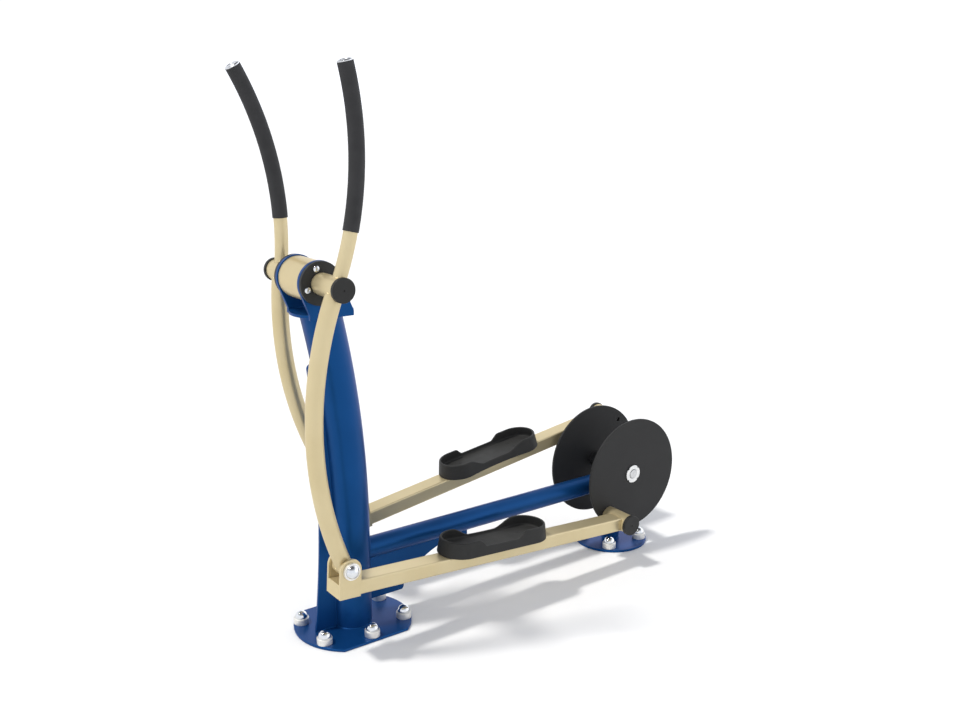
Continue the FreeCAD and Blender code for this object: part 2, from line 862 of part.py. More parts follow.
def pedal_outline(inset, z):
    """A round-ended foot shape with one waisted side, the inner one."""
    r = pedal_width / 2 - inset
    cx = pedal_length / 2 - pedal_width / 2
    depth = pedal_width / 2 - pedal_waist - inset
    waist_radius = (cx ** 2 + depth ** 2 - r ** 2) / (2 * (r - depth))
    reach = math.hypot(cx, waist_radius + depth)
    tx = cx - r * cx / reach
    ty = -r * (waist_radius + depth) / reach
    edges = [
        line(V(-cx, r, z), V(cx, r, z)),
        arc(V(cx, r, z), V(cx + r, 0, z), V(tx, ty, z)),
        arc(V(tx, ty, z), V(0, -depth, z), V(-tx, ty, z)),
        arc(V(-tx, ty, z), V(-cx - r, 0, z), V(-cx, r, z)),
    ]
    return Part.Wire(edges)


def tray(inset, z0, z1):
    lean = pedal_lean / pedal_lobe_height
    outlines = [pedal_outline(inset + z * lean, z) for z in (z0, z1)]
    return Part.makeLoft(outlines, True, True)


def rim_dip(low, toe_end, toe_ramp, heel_end, heel_ramp, y0, y1):
    """What is cut from the rim on one side, down to its low part between toe and heel."""
    top = pedal_lobe_height
    corners = [
        flat(toe_end, top), flat(toe_end + toe_ramp, low), flat(heel_end - heel_ramp, low),
        flat(heel_end, top), flat(heel_end, 2 * top), flat(toe_end, 2 * top),
    ]
    return plate([line(a, b) for a, b in zip(corners, corners[1:] + corners[:1])], y0, y1)


def foot_pedal():
    """The moulded tray: high rims round toe and heel, lower ones between them, a flat floor."""
    top = pedal_lobe_height
    body = tray(0, 0, top).cut(tray(pedal_wall, pedal_floor, top + pedal_wall))
    body = body.cut(rim_dip(
        outer_rim_height, outer_toe_end, outer_toe_ramp, outer_heel_end, outer_heel_ramp, 0, pedal_width,
    ))
    body = body.cut(rim_dip(
        inner_rim_height, inner_toe_end, inner_toe_ramp, inner_heel_end, inner_heel_ramp, -pedal_width, 0,
    ))
    body.translate(V(pedal_centre, -pedal_shift, arm_top))
    for x, y in pedal_bolt_points():
        sink_radius = pedal_bolt_head_radius + pedal_bolt_head_room
        sink = upright(sink_radius, x, y, bolt_seat(), arm_top + pedal_floor)
        body = body.cut(upright(pedal_bolt_radius, x, y, arm_top, bolt_seat())).cut(sink)
    return in_arm_plane(body)


def pedal_bolts():
    bolts = []
    for x, y in pedal_bolt_points():
        shank = upright(pedal_bolt_radius, x, y, arm_top - pedal_bolt_tail, bolt_seat())
        head = button_head(pedal_bolt_head_radius, pedal_bolt_head_height, V(x, y, bolt_seat()), up)
        bolts.append(shank.fuse(head))
    return in_arm_plane(group(bolts))


def crank_sleeve():
    bore = crank_sleeve_radius - crank_sleeve_wall
    return cross_tube(crank_sleeve_radius, bore, crank_end(), sleeve_inner_y, sleeve_outer_y)


def pin_head_y():
    return sleeve_outer_y - crank_pin_recess


def crank_bushes():
    bore = crank_sleeve_radius - crank_sleeve_wall
    inner = crank_pin_radius + running_gap
    outer_end = pin_head_y() - crank_pin_head_height - face_gap
    bushes = []
    for y0 in (sleeve_inner_y, outer_end - crank_bush_length):
        bushes.append(cross_tube(bore, inner, crank_end(), y0, y0 + crank_bush_length))
    return group(bushes)


def crank_pin():
    """The headed pin; its inner end stands just clear of the disk's face."""
    head_from = pin_head_y() - crank_pin_head_height
    pin = cross_rod(crank_pin_radius, crank_end(), disk_outer_y + face_gap, head_from)
    head = cross_rod(crank_pin_head_radius, crank_end(), head_from, pin_head_y())
    return pin.fuse(head)


def build_arm(side, clevis, angle):
    pieces = {
        "arm_tube": arm_tube(),
        "clevis_ears": clevis_ears(),
        "clevis_pin": clevis_pin(),
        "pedal": foot_pedal(),
        "pedal_bolts": pedal_bolts(),
        "crank_sleeve": crank_sleeve(),
        "crank_bushes": crank_bushes(),
        "crank_pin": crank_pin(),
        "crank_cap": end_cap(crank_end(), crank_sleeve_radius - crank_sleeve_wall, sleeve_outer_y),
    }
    for name, shape in pieces.items():
        if side == "left":
            shape = shape.mirror(origin, across)
        shape.rotate(origin, swing_axis, angle)
        shape.translate(clevis)
        save(side + "_" + name, shape)


# The linkage at rest: each lever's foot is where the lever's and the arm's circles meet

def clevis_place(crank):
    span = math.hypot(crank.x - pivot_x, crank.z - pivot_z)
    heading = math.atan2(crank.z - pivot_z, crank.x - pivot_x)
    cosine = (lever_length ** 2 + span ** 2 - arm_length ** 2) / (2 * lever_length * span)
    a = heading - math.acos(cosine)
    return pivot + V(lever_length * math.cos(a), 0, lever_length * math.sin(a))


def build_side(side, angle):
    crank = crank_point(angle)
    clevis = clevis_place(crank)
    lever_angle = math.degrees(math.atan2(clevis.x - pivot_x, pivot_z - clevis.z))
    arm_angle = math.degrees(math.atan2(crank.z - clevis.z, crank.x - clevis.x)) + arm_offset_angle
    print(side, "lever %.2f deg, arm %.2f deg" % (lever_angle, arm_angle))
    print(side, "clevis (%.2f, %.2f), crank pin (%.2f, %.2f)" % (clevis.x, clevis.z, crank.x, crank.z))
    build_lever(side, lever_angle)
    build_arm(side, clevis, arm_angle)


build_frame()
build_crank()
build_side("left", crank_angle)
build_side("right", crank_angle + 180)
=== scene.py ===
import bmesh
import bpy
import json
import math
from mathutils import Matrix, Vector


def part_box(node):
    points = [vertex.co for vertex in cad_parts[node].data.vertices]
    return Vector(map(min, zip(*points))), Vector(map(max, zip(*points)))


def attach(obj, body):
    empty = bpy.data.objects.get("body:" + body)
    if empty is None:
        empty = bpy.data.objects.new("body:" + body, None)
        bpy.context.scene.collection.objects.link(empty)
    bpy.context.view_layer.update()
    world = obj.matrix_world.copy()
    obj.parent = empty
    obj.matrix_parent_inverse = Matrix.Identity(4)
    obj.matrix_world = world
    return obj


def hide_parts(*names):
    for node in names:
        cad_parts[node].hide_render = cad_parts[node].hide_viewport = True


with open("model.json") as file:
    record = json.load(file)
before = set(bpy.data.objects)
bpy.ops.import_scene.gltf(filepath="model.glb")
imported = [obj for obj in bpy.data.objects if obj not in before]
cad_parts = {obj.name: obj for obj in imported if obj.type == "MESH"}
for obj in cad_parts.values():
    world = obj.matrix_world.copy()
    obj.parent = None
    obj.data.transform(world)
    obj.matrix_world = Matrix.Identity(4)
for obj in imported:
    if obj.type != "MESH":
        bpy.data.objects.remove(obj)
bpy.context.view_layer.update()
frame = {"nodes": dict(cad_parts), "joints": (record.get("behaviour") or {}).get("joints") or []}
print("frame loaded,", len(frame["nodes"]), "nodes")

# Sizes are in millimetres, and makePiece scales the finished mesh to metres.
mm = 0.001
meshing = {"pole": 0.02, "merge": 0.0005, "smoothAngle": 40}
sides = {"left": -1, "right": 1}
upX, upY, upZ = Vector((1, 0, 0)), Vector((0, 1, 0)), Vector((0, 0, 1))
world = Matrix.Identity(4)
alongX = Matrix.Rotation(math.pi / 2, 4, "Y")  # a lathe's axis laid along +X
alongY = Matrix.Rotation(-math.pi / 2, 4, "X")
# a plate's outline laid in XZ with its thickness along Y, or in YZ with its length along X
crossways = Matrix(((1, 0, 0, 0), (0, 0, 1, 0), (0, 1, 0, 0), (0, 0, 0, 1)))
lengthways = Matrix(((0, 0, 1, 0), (1, 0, 0, 0), (0, 1, 0, 0), (0, 0, 0, 1)))


def mirrored(sign):
    # what is modelled at +Y goes to its own side
    return Matrix.Scale(sign, 4, upY)


def jointPlace(name):
    joint = next(j for j in frame["joints"] if j["name"] == name)
    return Vector(joint["pos_m"]) / mm


def nodeMiddle(node):
    low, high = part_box(node)
    return (low + high) / 2 / mm


pivot = jointPlace("left_lever_swing")
axle = jointPlace("flywheel_spin")


# Mesh helpers

def roundAngles(count):
    return [2 * math.pi * k / count for k in range(count)]


def band(bm, first, second):
    # quads all the way round between two rings of vertices
    for i in range(len(first)):
        j = (i + 1) % len(first)
        bm.faces.new((first[i], first[j], second[j], second[i]))


def skin(bm, rings, place, loop=False):
    rows = [[bm.verts.new(place @ point) for point in ring] for ring in rings]
    if not loop:
        bm.faces.new(list(reversed(rows[0])))
        bm.faces.new(rows[-1])
    for first, second in zip(rows, rows[1:]):
        band(bm, first, second)
    if loop:
        band(bm, rows[-1], rows[0])


def easeCorners(points, closed=True, steps=4):
    # a point's third value is the radius that its corner is eased by
    eased = []
    for i, point in enumerate(points):
        here = Vector(point[:2])
        ease = point[2] if len(point) > 2 else 0
        if not ease or (not closed and i in (0, len(points) - 1)):
            eased.append(here)
            continue
        before = (Vector(points[i - 1][:2]) - here).normalized()
        after = (Vector(points[(i + 1) % len(points)][:2]) - here).normalized()
        half = before.angle(after) / 2
        centre = here + (before + after).normalized() * ease / math.sin(half)
        start = here + before * ease / math.tan(half) - centre
        end = here + after * ease / math.tan(half) - centre
        for k in range(steps + 1):
            eased.append(centre + start.normalized().slerp(end.normalized(), k / steps) * ease)
    return eased


def arcPoints(centre, radius, start, end, steps):
    angles = [math.radians(start + (end - start) * k / steps) for k in range(steps + 1)]
    return [(centre[0] + radius * math.cos(a), centre[1] + radius * math.sin(a)) for a in angles]


def arcThrough(a, b, c, steps):
    # the arc from a by way of b to c
    (ax, ay), (bx, by), (cx, cy) = a, b, c
    d = 2 * (ax * (by - cy) + bx * (cy - ay) + cx * (ay - by))
    a2, b2, c2 = ax * ax + ay * ay, bx * bx + by * by, cx * cx + cy * cy
    ux = (a2 * (by - cy) + b2 * (cy - ay) + c2 * (ay - by)) / d
    uy = (a2 * (cx - bx) + b2 * (ax - cx) + c2 * (bx - ax)) / d
    radius = math.hypot(ax - ux, ay - uy)
    start, middle, end = (math.degrees(math.atan2(y - uy, x - ux)) for x, y in (a, b, c))
    turn = (end - start) % 360
    if (middle - start) % 360 > turn:
        turn -= 360
    return arcPoints((ux, uy), radius, start, start + turn, steps)


def circle(centre, radius, steps):
    return arcPoints(centre, radius, 0, 360, steps)[:-1]


def ringAt(radius, height, turns):
    return [Vector((radius * math.cos(a), radius * math.sin(a), height)) for a in roundAngles(turns)]


def lathe(bm, profile, place, turns, loop=False):
    eased = easeCorners(profile, closed=loop)
    skin(bm, [ringAt(max(p[0], meshing["pole"]), p[1], turns) for p in eased], place, loop)


def sweep(bm, stations, guide, place, turns, loop=False):
    # stations are centre, direction and radius, and guide lies across the path
    angles = roundAngles(turns)
    rings = []
    for centre, along, radius in stations:
        side = (guide - along * along.dot(guide)).normalized()
        over = along.cross(side)
        rings.append([centre + (side * math.cos(a) + over * math.sin(a)) * radius for a in angles])
    skin(bm, rings, place, loop)


def plate(bm, outline, holes, low, high, place, edge, steps=3):
    # a flat plate with rounded edges: the outline runs one way round and its holes the other
    def wound(points, sign):
        points = [Vector(p[:2]) for p in points]
        area = sum(a.cross(b) for a, b in zip(points, points[1:] + points[:1]))
        return points if area * sign > 0 else points[::-1]

    def inset(points, amount):
        moved = []
        for i, here in enumerate(points):
            one = (here - points[i - 1]).normalized()
            two = (points[(i + 1) % len(points)] - here).normalized()
            normals = Vector((-one.y, one.x)), Vector((-two.y, two.x))
            mitre = (normals[0] + normals[1]) / (1 + normals[0].dot(normals[1]))
            moved.append(here + mitre * amount)
        return moved

    turns = [math.pi / 2 * k / steps for k in range(steps + 1)]
    levels = [(edge * (1 - math.sin(a)), edge * (1 - math.cos(a))) for a in turns]
    heights = [(s, low + h) for s, h in levels] + [(s, high - h) for s, h in reversed(levels)]
    rims = ([], [])
    for points in [wound(outline, 1)] + [wound(hole, -1) for hole in holes]:
        rows = []
        for shift, height in heights:
            ring = [Vector((p.x, p.y, height)) for p in inset(points, shift)]
            rows.append([bm.verts.new(place @ p) for p in ring])
        for first, second in zip(rows, rows[1:]):
            band(bm, first, second)
        rims[0].append(rows[0])
        rims[1].append(rows[-1])
    for loops in rims:
        if len(loops) == 1:
            bm.faces.new(loops[0])
            continue
        pairs = [(row[i - 1], row[i]) for row in loops for i in range(len(row))]
        bmesh.ops.triangle_fill(bm, edges=[bm.edges.get(pair) for pair in pairs], use_beauty=True)


def makePiece(name, bm, slotName, body, *nodes, look=None):
    bmesh.ops.remove_doubles(bm, verts=bm.verts, dist=meshing["merge"])
    bmesh.ops.recalc_face_normals(bm, faces=bm.faces)
    mesh = bpy.data.meshes.new(name)
    bm.to_mesh(mesh)
    bm.free()
    mesh.transform(Matrix.Scale(mm, 4))
    mesh.shade_smooth()
    mesh.set_sharp_from_angle(angle=math.radians(meshing["smoothAngle"]))
    mesh.materials.append(look or looks[slotName])
    piece = bpy.data.objects.new(name, mesh)
    bpy.context.scene.collection.objects.link(piece)
    piece.modifiers.new("evenShading", "WEIGHTED_NORMAL").keep_sharp = True
    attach(piece, body)
    if nodes:
        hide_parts(*nodes)


# Finishes

noiseDetail = {"cloud": 4, "haze": 5, "marks": 2}
edgeRubAndHighlight = {"start": 0.53, "paintFull": 0.6, "plasticFull": 0.62}  # how sharp an edge is when it gets rubbed and lightened with a painted highlight


def srgb(red, green, blue):
    def linear(value):
        value /= 255
        return value / 12.92 if value <= 0.04045 else ((value + 0.055) / 1.055) ** 2.4
    return (linear(red), linear(green), linear(blue), 1)


def startLook(name, **sockets):
    material = bpy.data.materials.new(name)
    material.use_nodes = True
    tree = material.node_tree
    shader = tree.nodes["Principled BSDF"]
    for socket, value in sockets.items():
        shader.inputs[socket.replace("_", " ")].default_value = value
    return material, tree, shader


def grainField(tree, scale, detail=3.0, stretch=(1, 1, 1)):
    place = tree.nodes.new("ShaderNodeTexCoord")
    mapping = tree.nodes.new("ShaderNodeMapping")
    mapping.inputs["Scale"].default_value = stretch
    field = tree.nodes.new("ShaderNodeTexNoise")
    field.inputs["Scale"].default_value = scale
    field.inputs["Detail"].default_value = detail
    tree.links.new(place.outputs["Object"], mapping.inputs["Vector"])
    tree.links.new(mapping.outputs["Vector"], field.inputs["Vector"])
    return field.outputs["Fac"]


def cellField(tree, scale):
    place = tree.nodes.new("ShaderNodeTexCoord")
    field = tree.nodes.new("ShaderNodeTexVoronoi")
    field.inputs["Scale"].default_value = scale
    tree.links.new(place.outputs["Object"], field.inputs["Vector"])
    return field.outputs["Distance"]


def ranged(tree, field, low, high, start=0.3, stop=0.7):
    node = tree.nodes.new("ShaderNodeMapRange")
    for socket, value in (("From Min", start), ("From Max", stop), ("To Min", low), ("To Max", high)):
        node.inputs[socket].default_value = value
    tree.links.new(field, node.inputs["Value"])
    return node.outputs["Result"]


def tinted(tree, factor, first, second):
    # first and second are colours, or the output of another tint
    node = tree.nodes.new("ShaderNodeMix")
    node.data_type = "RGBA"
    colourSockets = [s for s in node.inputs if s.type == "RGBA"]
    for socket, value in zip(colourSockets, (first, second)):
        if isinstance(value, bpy.types.NodeSocket):
            tree.links.new(value, socket)
        else:
            socket.default_value = value
    tree.links.new(factor, node.inputs["Factor"])
    return [s for s in node.outputs if s.type == "RGBA"][0]


def edgeField(tree, start, stop, most):
    # how far an outside edge stands out
    node = tree.nodes.new("ShaderNodeNewGeometry")
    return ranged(tree, node.outputs["Pointiness"], 0, most, start, stop)


def toplitField(tree, start, stop, most):
    # how level a surface lies
    node = tree.nodes.new("ShaderNodeNewGeometry")
    split = tree.nodes.new("ShaderNodeSeparateXYZ")
    tree.links.new(node.outputs["Normal"], split.inputs["Vector"])
    return ranged(tree, split.outputs["Z"], 0, most, start, stop)


def bumped(tree, shader, field, distance, strength):
    node = tree.nodes.new("ShaderNodeBump")
    node.inputs["Distance"].default_value = distance
    node.inputs["Strength"].default_value = strength
    tree.links.new(field, node.inputs["Height"])
    tree.links.new(node.outputs["Normal"], shader.inputs["Normal"])


def cloudedTone(tree, finish):
    cloud = ranged(tree, grainField(tree, finish["cloudScale"], noiseDetail["cloud"]), 0, 1)
    return tinted(tree, cloud, srgb(*finish["colour"]), srgb(*finish["second"]))


def wornHighlitEdges(tree, colour, finish, full):
    # sharp outside edges get a lighter colour: rubbed wear together with a painted highlight
    wornHighlit = edgeField(tree, edgeRubAndHighlight["start"], full, finish["rubAndHighlight"])
    return tinted(tree, wornHighlit, colour, srgb(*finish["wornHighlit"]))


def hazedGloss(tree, shader, finish):
    haze = grainField(tree, finish["hazeScale"], noiseDetail["haze"])
    tree.links.new(ranged(tree, haze, *finish["gloss"]), shader.inputs["Roughness"])


def paintLook(name, paint):
    # powder coat, some with a metal lustre: orange peel, patches of other tone and gloss, edges lightened by
    # rubbed wear and a painted highlight
    material, tree, shader = startLook(name, IOR=paint["ior"], Specular_IOR_Level=paint["shine"],
                                       Specular_Tint=srgb(*paint["tint"]), Metallic=paint["lustre"])
    colour = wornHighlitEdges(tree, cloudedTone(tree, paint), paint, edgeRubAndHighlight["paintFull"])
    tree.links.new(colour, shader.inputs["Base Color"])
    hazedGloss(tree, shader, paint)
    peel = grainField(tree, paint["peelScale"], noiseDetail["marks"])
    bumped(tree, shader, peel, paint["peelDepth"], paint["peel"])
    return material


def mouldedLook(name, plastic):
    # plastic and rubber: a fine cell grain, cloudy tone and gloss, edges lightened by rubbed wear and a
    # painted highlight, and painted light from above on level faces
    material, tree, shader = startLook(name, IOR=plastic["ior"], Specular_IOR_Level=plastic["shine"])
    colour = wornHighlitEdges(tree, cloudedTone(tree, plastic), plastic, edgeRubAndHighlight["plasticFull"])
    if "toplitTone" in plastic:
        # faces that look straight up get a lighter colour: painted light from above
        toplitTread = toplitField(tree, *plastic["level"], plastic["toplight"])
        colour = tinted(tree, toplitTread, colour, srgb(*plastic["toplitTone"]))
    tree.links.new(colour, shader.inputs["Base Color"])
    hazedGloss(tree, shader, plastic)
    bumped(tree, shader, cellField(tree, plastic["grainScale"]), plastic["grainDepth"], plastic["grain"])
    return material


def metalLook(name, metal):
    # bare or plated metal: fine drawn marks and patches of haze
    material, tree, shader = startLook(name, Metallic=1.0)
    tree.links.new(cloudedTone(tree, metal), shader.inputs["Base Color"])
    hazedGloss(tree, shader, metal)
    marks = grainField(tree, metal["markScale"], noiseDetail["marks"], metal["markStretch"])
    bumped(tree, shader, marks, metal["markDepth"], metal["marks"])
    return material


# each finish's lighter edge colour and its strength stand for rubbed wear together with a painted edge
# highlight
bluePaint = {
    "colour": (13, 61, 113), "second": (16, 66, 121), "wornHighlit": (48, 92, 146), "rubAndHighlight": 0.15,
    "ior": 1.5, "shine": 0.9, "tint": (80, 140, 212), "lustre": 0.3, "gloss": (0.3, 0.34),
    "cloudScale": 7, "hazeScale": 22, "peelScale": 420, "peelDepth": 0.00004, "peel": 0.2,
}
beigePaint = {
    "colour": (203, 187, 146), "second": (209, 194, 155), "wornHighlit": (224, 212, 180), "rubAndHighlight": 0.3,
    "ior": 1.45, "shine": 0.5, "tint": (240, 230, 210), "lustre": 0.5, "gloss": (0.29, 0.33),
    "cloudScale": 8, "hazeScale": 26, "peelScale": 460, "peelDepth": 0.00004, "peel": 0.25,
}
blackPaint = {
    "colour": (42, 42, 42), "second": (45, 45, 45), "wornHighlit": (80, 80, 80), "rubAndHighlight": 0.2,
    "ior": 1.45, "shine": 0.25, "tint": (255, 255, 255), "lustre": 0.0, "gloss": (0.52, 0.6),
    "cloudScale": 9, "hazeScale": 18, "peelScale": 900, "peelDepth": 0.00004, "peel": 0.25,
}
blackCasting = {
    "colour": (36, 37, 37), "second": (42, 43, 43), "wornHighlit": (78, 78, 78), "rubAndHighlight": 0.25,
    "ior": 1.45, "shine": 0.35, "tint": (255, 255, 255), "lustre": 0.0, "gloss": (0.46, 0.6),
    "cloudScale": 30, "hazeScale": 40, "peelScale": 380, "peelDepth": 0.00014, "peel": 0.4,
}
chromePlate = {
    "colour": (226, 228, 230), "second": (214, 217, 220), "gloss": (0.05, 0.11), "cloudScale": 60,
    "hazeScale": 90, "markScale": 220, "markStretch": (1, 1, 1), "markDepth": 0.00002, "marks": 0.12,
}
satinPlate = {
    "colour": (238, 236, 231), "second": (230, 229, 225), "gloss": (0.5, 0.58), "cloudScale": 60,
    "hazeScale": 90, "markScale": 260, "markStretch": (1, 1, 4), "markDepth": 0.00003, "marks": 0.2,
}
machinedSteel = {
    "colour": (208, 209, 209), "second": (196, 197, 198), "gloss": (0.26, 0.36), "cloudScale": 40,
    "hazeScale": 60, "markScale": 300, "markStretch": (1, 6, 1), "markDepth": 0.00003, "marks": 0.2,
}
zincSteel = {
    "colour": (232, 232, 230), "second": (220, 221, 221), "gloss": (0.3, 0.4), "cloudScale": 55,
    "hazeScale": 80, "markScale": 260, "markStretch": (1, 1, 1), "markDepth": 0.00003, "marks": 0.2,
}
silverPlug = {
    "colour": (216, 217, 219), "second": (202, 204, 206), "gloss": (0.14, 0.24), "cloudScale": 60,
    "hazeScale": 80, "markScale": 300, "markStretch": (1, 1, 1), "markDepth": 0.00002, "marks": 0.2,
}
blackPlastic = {
    "colour": (42, 42, 41), "second": (46, 46, 45), "wornHighlit": (74, 74, 74), "rubAndHighlight": 0.2,
    "ior": 1.48, "shine": 0.2, "gloss": (0.44, 0.54), "cloudScale": 26, "hazeScale": 40,
    "grainScale": 1100, "grainDepth": 0.00004, "grain": 0.3,
}
# the pedal's level faces take a lighter tone below: painted light from above on the tread and rim tops
pedalPlastic = {
    "colour": (47, 47, 46), "second": (52, 52, 51), "wornHighlit": (68, 68, 68), "rubAndHighlight": 0.15,
    "toplitTone": (59, 59, 58), "toplight": 0.85, "level": (0.955, 0.985),
    "ior": 1.48, "shine": 0.15, "gloss": (0.5, 0.62), "cloudScale": 16, "hazeScale": 24,
    "grainScale": 900, "grainDepth": 0.00006, "grain": 0.4,
}
gripRubber = {
    "colour": (46, 46, 47), "second": (51, 51, 52), "wornHighlit": (68, 68, 68), "rubAndHighlight": 0.15,
    "ior": 1.4, "shine": 0.35, "gloss": (0.62, 0.76), "cloudScale": 20, "hazeScale": 34,
    "grainScale": 700, "grainDepth": 0.0001, "grain": 0.45,
}
bushPlastic = {
    "colour": (216, 212, 198), "second": (206, 202, 188), "wornHighlit": (228, 226, 216), "rubAndHighlight": 0.3,
    "ior": 1.5, "shine": 0.5, "gloss": (0.34, 0.46), "cloudScale": 40, "hazeScale": 50,
    "grainScale": 1200, "grainDepth": 0.00003, "grain": 0.3,
}
satinLook = metalLook("satinPlate", satinPlate)
looks = {
    "blue_paint": paintLook("bluePaint", bluePaint),
    "beige_paint": paintLook("beigePaint", beigePaint),
    "black_paint": paintLook("blackPaint", blackPaint),
    "black_casting": paintLook("blackCasting", blackCasting),
    "chrome": metalLook("chromePlate", chromePlate),
    "machined_steel": metalLook("machinedSteel", machinedSteel),
    "zinc_steel": metalLook("zincSteel", zincSteel),
    "silver_plug": metalLook("silverPlug", silverPlug),
    "black_plastic": mouldedLook("blackPlastic", blackPlastic),
    "pedal_plastic": mouldedLook("pedalPlastic", pedalPlastic),
    "grip_rubber": mouldedLook("gripRubber", gripRubber),
    "bush_plastic": mouldedLook("bushPlastic", bushPlastic),
}
print("finishes made,", len(looks))


# Weld beads

weldBead = {
    "radius": 2.4, "endShare": 0.4, "pitch": 5.0, "ripple": 0.05, "step": 1.4, "fewest": 8, "turns": 10,
}


def weld(bm, path, guide, place, loop=False, radius=weldBead["radius"]):
    # a rippled bead laid half into the corner that it fills
    travel = 0.0
    stations = []
    for i, here in enumerate(path):
        last = path[i - 1] if i or loop else here
        after = path[(i + 1) % len(path)] if loop or i + 1 < len(path) else here
        travel += (here - last).length if i else 0
        ripple = 1 + weldBead["ripple"] * math.sin(2 * math.pi * travel / weldBead["pitch"])
        stations.append((here, (after - last).normalized(), radius * ripple))
    if not loop:
        for end in (0, -1):
            stations[end] = (*stations[end][:2], radius * weldBead["endShare"])
    sweep(bm, stations, guide, place, weldBead["turns"], loop)


def weldSteps(length):
    return max(weldBead["fewest"], round(length / weldBead["step"]))


def straightPath(start, end):
    count = weldSteps((end - start).length)
    return [start.lerp(end, k / count) for k in range(count + 1)]


def ringPath(centre, radiusX, radiusY):
    angles = roundAngles(weldSteps(math.pi * (radiusX + radiusY)))
    return [centre + Vector((radiusX * math.cos(a), radiusY * math.sin(a), 0)) for a in angles]


def saddlePath(centre, along, across, tubeRadius, crossRadius):
    # where a round tube meets the side of another that lies across it
    third = along.cross(across)
    path = []
    for a in roundAngles(weldSteps(2 * math.pi * tubeRadius)):
        offset = tubeRadius * math.sin(a)
        reach = math.sqrt(crossRadius ** 2 - offset ** 2)
        path.append(centre + along * reach + across * tubeRadius * math.cos(a) + third * offset)
    return path


# Ground plates and their caps

groundPlate = {"thickness": 8, "edge": 1.4, "hole": 9, "holeSteps": 24}
basePlate = {"radius": 175, "half": 140, "steps": 72, "anchorX": 133, "anchorY": 73, "sideAnchorY": 115}
rearPlate = {"radius": 125, "steps": 160, "anchorRadius": 99, "firstAnchor": 45, "anchors": 4}
anchorCap = {"radius": 22.5, "collar": 19, "height": 39, "step": 4, "sunk": 1, "ease": 1.6, "foot": 0.8}


def baseAnchors():
    b = basePlate
    corners = [(sx * b["anchorX"], sy * b["anchorY"]) for sx in (-1, 1) for sy in (-1, 1)]
    return corners + [(0, sy * b["sideAnchorY"]) for sy in (-1, 1)]


def rearAnchors():
    r = rearPlate
    start = r["firstAnchor"]
    return arcPoints((axle.x, 0), r["anchorRadius"], start, start + 360, r["anchors"])[:-1]


def clippedDisk(centre, radius, half, steps):
    # a round plate with two straight sides
    corner = math.degrees(math.asin(half / radius))
    front = arcPoints(centre, radius, -corner, corner, steps)
    return front + arcPoints(centre, radius, 180 - corner, 180 + corner, steps)


def groundPlates():
    g = groundPlate
    base = clippedDisk((0, 0), basePlate["radius"], basePlate["half"], basePlate["steps"])
    rear = circle((axle.x, 0), rearPlate["radius"], rearPlate["steps"])
    for name, outline, anchors in (("base", base, baseAnchors()), ("rear", rear, rearAnchors())):
        bm = bmesh.new()
        holes = [circle(at, g["hole"], g["holeSteps"]) for at in anchors]
        plate(bm, outline, holes, 0, g["thickness"], world, g["edge"])
        makePiece(name + "Plate", bm, "blue_paint", "frame", name + "_plate")


def acornNut(domes, collars, nut, place, turns=56, steps=20):
    # a satin collar with a smaller polished ball on top
    ball = nut["radius"] - nut["step"]
    rise = nut["height"] - ball
    low = nut["collar"] - nut["sunk"]
    start = math.degrees(math.asin((low - rise) / ball))
    lathe(domes, [(0, low)] + arcPoints((0, rise), ball, start, 90, steps), place, turns)
    rim = [(nut["radius"], 0, nut["foot"]), (nut["radius"], nut["collar"], nut["ease"])]
    lathe(collars, [(0, 0)] + rim + [(0, nut["collar"])], place, turns)


def anchorCaps():
    domes, collars = bmesh.new(), bmesh.new()
    for x, y in baseAnchors() + rearAnchors():
        acornNut(domes, collars, anchorCap, Matrix.Translation((x, y, groundPlate["thickness"])))
    makePiece("anchorCaps", domes, "chrome", "frame", "anchor_caps")
    makePiece("anchorCollars", collars, "chrome", "frame", look=satinLook)


groundPlates()
anchorCaps()
print("ground plates made")


# Column, fin and head

column = {"radius": 57.15, "bendStart": 330, "bendRadius": 2850, "top": 955, "turns": 120, "rows": 60}
fin = {
    "half": 4, "foot": (-125, 8), "waist": (-98.5, 410), "shoulder": (-117.5, 801), "topZ": 815,
    "corner": 14, "edge": 1.2, "steps": 60,
}
headPlate = {"radius": 88, "half": 59, "thickness": 8, "shift": 4, "edge": 1.2, "steps": 48}
ear = {
    "inner": 59, "outer": 70, "radius": 60.4, "bore": 36, "edge": 1.2, "steps": 90, "boreSteps": 64,
    "footHalf": 66, "footHeight": 14, "footDrop": 4, "footShift": 0.5, "corner": 2,
}


def bendX(z, offset=0):
    # the column's line, or a line beside it, at a height
    rise = max(z - column["bendStart"], 0)
    return math.sqrt((column["bendRadius"] + offset) ** 2 - rise ** 2) - column["bendRadius"]


columnTopX = bendX(column["top"])


def columnTube():
    c, foot = column, groundPlate["thickness"]
    bm = bmesh.new()
    rings = []
    for row in range(c["rows"] + 1):
        share = row / c["rows"]
        z = foot + (c["top"] - foot) * share
        ring = []
        for a in roundAngles(c["turns"]):
            offset, y = c["radius"] * math.cos(a), c["radius"] * math.sin(a)
            ring.append(Vector((bendX(z, offset), y, z)))
        rings.append(ring)
    skin(bm, rings, world)
    makePiece("columnTube", bm, "blue_paint", "frame", "column_tube")


def columnFin():
    f = fin
    bm = bmesh.new()
    front = arcThrough(f["foot"], f["waist"], f["shoulder"], f["steps"])
    top = [(f["shoulder"][0], f["topZ"], f["corner"]), (bendX(f["topZ"]), f["topZ"]), (0, f["foot"][1])]
    outline = easeCorners(front + top, steps=8)
    plate(bm, outline, [], -f["half"], f["half"], crossways, f["edge"])
    makePiece("columnFin", bm, "blue_paint", "frame", "column_fin")


